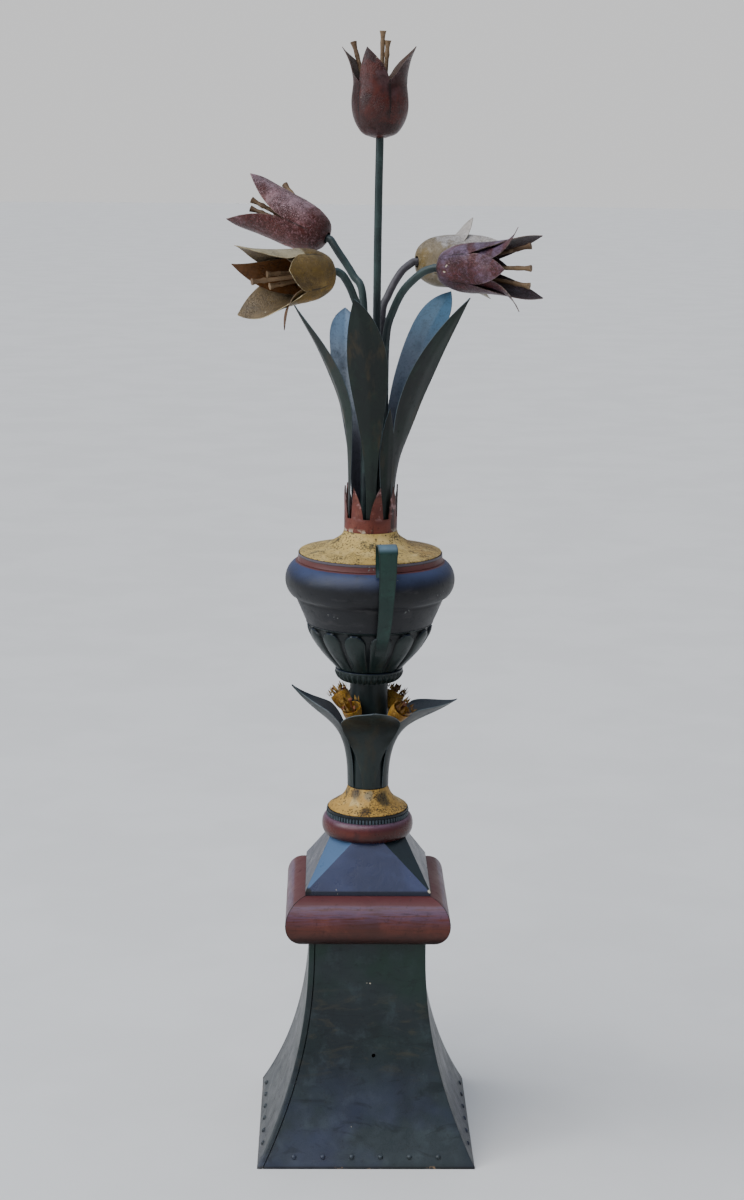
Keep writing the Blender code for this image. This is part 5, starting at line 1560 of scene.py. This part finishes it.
def trefoil(name, paint, nodes, base, axis, roll_deg, start, belly, length, notch, tips,
            bend, cuts=EVEN_CUTS, point=1.5):
    """A cup that splits at the cuts into three pointed petals above the notch."""
    u, v = frame_of(axis, roll_deg)
    bounds = [*cuts, cuts[0] + 360.0]
    hole = TULIP_HOLE
    cup = [(hole, 0.0), (hole + (belly - hole) * 0.52, 0.055 * length),
           (hole + (belly - hole) * 0.88, 0.20 * length)]
    if notch > 0.45:
        cup += [(belly, 0.37 * length), (0.94 * belly, notch * length)]
    else:
        cup += [(belly, notch * length)]
    points = []
    marks = {"edge": [], "along": [], "seam": [], "second": []}

    def add(radius, along, angle_deg, edge, seam=0.0, second=0.0):
        spread = spoke(u, v, math.radians(angle_deg)) * radius
        spot = base + axis * (start + along) + spread
        points.append(spot + spread.normalized() * noise.noise(spot * 45.0) * PETAL_SWAY)
        marks["edge"].append(edge)
        marks["along"].append(along / length)
        marks["seam"].append(seam)
        marks["second"].append(second)
        return len(points) - 1

    around = 3 * PER_PETAL
    profile = through(cup, 6)
    for j, (radius, along) in enumerate(profile):
        rise = j / (len(profile) - 1)
        for i in range(around):
            side = abs(i % PER_PETAL * 2.0 / PER_PETAL - 1.0)
            seam = max((side - 0.90) / 0.10, 0.0) * ease((rise - 0.35) / 0.3)
            k, place = divmod(i, PER_PETAL)
            angle = mix(bounds[k], bounds[k + 1], place / PER_PETAL)
            add(radius - PETAL_SEAM * seam, along, angle, 0.0, seam)
    faces = hoops(len(profile), around)
    rim = (len(profile) - 1) * around
    neck = cup[-1][0]
    for k, (reach, spread, twist, width) in enumerate(tips):
        below = [rim + (k * PER_PETAL + i) % around for i in range(PER_PETAL + 1)]
        centre = (bounds[k] + bounds[k + 1]) / 2
        full = (bounds[k + 1] - bounds[k]) / 2
        for j in range(1, PETAL_ROWS + 1):
            share = j / PETAL_ROWS
            along = mix(notch, reach, share) * length
            radius = mix(neck, spread, share**bend)
            half = full * max(1.0 - share**point, 0.012) * mix(1.0, width, ease(share / 0.35))
            row = []
            for i in range(PER_PETAL + 1):
                side = 2.0 * i / PER_PETAL - 1.0
                rib = PETAL_RIB * max(1.0 - abs(side) / 0.12, 0.0) * (1.0 - share)
                edge = max(abs(side) ** 5, ease((share - 0.94) / 0.06))
                row.append(add(radius + rib, along, centre + twist * share**2 + side * half,
                               edge * min(share * 6.0, 1.0), 0.0, float(k == 1)))
            faces += [(below[i], below[i + 1], row[i + 1], row[i]) for i in range(PER_PETAL)]
            below = row
    piece(name, shell(points, faces, marks), paint, nodes, 40.0)


def tulips():
    for name, tulip in TULIPS.items():
        base, heart = Vector(tulip["base"]), Vector(tulip["heart"])
        axis = (heart - base).normalized()
        length = max((heart - base).length, TULIP_LEAST_LENGTH)
        paint, slot, belly = TULIP_PAINT[name], tulip["slot"], tulip.get("belly", TULIP_BELLY)
        trefoil("petals_outer_" + name, paint, ["tulip_" + name + "_outer"], base, axis,
                tulip["roll"], 0.0, belly, length, tulip["notch"], tulip["outer"], 2.0,
                tulip.get("cuts", EVEN_CUTS), tulip.get("point", 1.5))
        lining = TULIP_PAINT.get(name + "_lining", paint)
        trefoil("petals_inner_" + name, lining, ["tulip_" + name + "_inner"], base, axis,
                tulip["inner_roll"], INNER_GAP, belly - 1.35 * INNER_GAP, length,
                0.8 * tulip["notch"], tulip["inner"], tulip.get("inner_bend", 4.0))
        tulip_stamens(name, tulip, base, axis, length)
        stations = list(tulip["stalk"]) + [tuple(base - axis * 0.006)]
        centres = through(stations, 12) + [base + axis * 0.003]
        hint = Vector((1.0, 0.0, 0.0)) if abs(axis.y) > 0.9 else Vector((0.0, 1.0, 0.0))
        made = rod(centres, [ROD_RADIUS] * len(centres), 20, hint)
        finish = GREY_ROD if name == "right_rear" else ROD
        piece("flower_rod_" + name, made, finish, ["flower_stem_" + name], 50.0)


def tulip_stamens(name, tulip, base, axis, length):
    """Rods with trumpet heads, soldered into a hub at the foot of the cup."""
    u, v = frame_of(axis, 0.0)
    ends = [base + axis * HUB_FOOT, base + axis * (HUB_FOOT + HUB_LENGTH)]
    parts = [rod(ends, [HUB_RADIUS] * 2, 16, u)]
    for i, (angle, spread, reach) in enumerate(tulip["stamens"]):
        third = math.radians(120.0 * i + tulip["stamens"][0][0])
        foot = base + axis * (HUB_FOOT + HUB_LENGTH / 3) + spoke(u, v, third) * 0.0026
        head = base + axis * (reach * length) + spoke(u, v, math.radians(angle)) * spread
        run = head - foot
        count = 26
        centres, radii = [], []
        for j in range(count + 1):
            s = j / count
            left = (1.0 - s) * run.length
            centres.append(foot + run * s)
            knob = KNOB * math.exp(-((left - 0.017) / 0.0024) ** 2)
            radii.append(STAMEN_RADIUS + knob + FLARE * ease(1.0 - left / 0.0080))
        parts.append(rod(centres, radii, 14, u))
    piece("stamens_" + name, joined(*parts), STAMEN,
          ["tulip_" + name + "_stamens"], 50.0)


# Floor, light and camera.

def plain_paint(name, colour, roughness):
    p = Paint(name)
    grain = p.cloud(3.0, 3.0, 0.6)
    shade = p.over(colour, tuple(c * 0.96 for c in colour[:3]) + (1.0,), grain.rise(0.4, 0.6))
    return p.finish(shade, roughness, grain, 0.001, 0.1)


def floor():
    sides, radius = 96, 40.0
    points = [polar(360.0 * i / sides, radius, -0.0004) for i in range(sides)]
    mesh = plain_mesh("floor", points, [tuple(range(sides))])
    mesh.materials.append(plain_paint("pale_floor", FLOOR_COLOUR, 0.9))
    made = placed("floor", mesh)


def studio_room():
    """Pale cloth and sky behind and beside the work, a dim room before it."""
    world = bpy.data.worlds.new("studio")
    bpy.context.scene.world = world
    p = Paint("studio", world)
    room = p.over(DIM_ROOM, PALE_CLOTH, p.y.rise(-0.85, 0.35))
    room = p.over(room, SKY, p.height.rise(0.30, 0.95))
    lit = p.node("ShaderNodeBackground", {}, {"Color": room, "Strength": ROOM_STRENGTH})
    seen = p.node("ShaderNodeBackground", {}, {"Color": HORIZON_COLOUR, "Strength": 1.0})
    eye = p.node("ShaderNodeLightPath", out="Is Camera Ray")
    whole = p.node("ShaderNodeMixShader", {}, [eye, lit, seen])
    p.node("ShaderNodeOutputWorld", {}, {"Surface": whole}, out=None)


def lamp(name, kind, place, aim, width, power, colour):
    light = bpy.data.lights.new(name, kind)
    if kind == "SUN":
        light.angle = width
    else:
        light.shape = "DISK"
        light.size = width
    light.energy = power
    light.color = colour
    made = placed(name, light)
    made.location = place
    made.rotation_euler = (Vector(aim) - Vector(place)).to_track_quat("-Z", "Y").to_euler()


def light_and_camera():
    studio_room()
    lamp("sky_lamp", "SUN", (-2.2, -2.0, 4.2), AIM, 1.15, 2.9, (1.0, 0.985, 0.965))
    lamp("left_lamp", "AREA", (-2.8, -0.6, 1.9), AIM, 1.6, 26.0, (0.80, 0.90, 1.0))

    lens = bpy.data.cameras.new("photo_camera")
    lens.lens = CAMERA_LENS
    lens.sensor_width = 36.0
    camera = placed("photo_camera", lens)
    turn = Matrix.Rotation(CAMERA_YAW, 4, "Z")
    turn = turn @ Matrix.Rotation(math.radians(CAMERA_TILT_DEG), 4, "X")
    turn = turn @ Matrix.Rotation(CAMERA_ROLL, 4, "Z")
    camera.matrix_world = Matrix.Translation(CAMERA_PLACE) @ turn
    bpy.context.scene.camera = camera


pedestal()
square_moulding()
broach()
turned_pieces()
cup_and_urn()
collar()
handles()
stem_leaves()
florets()
bunch_leaves()
tulips()
floor()
light_and_camera()
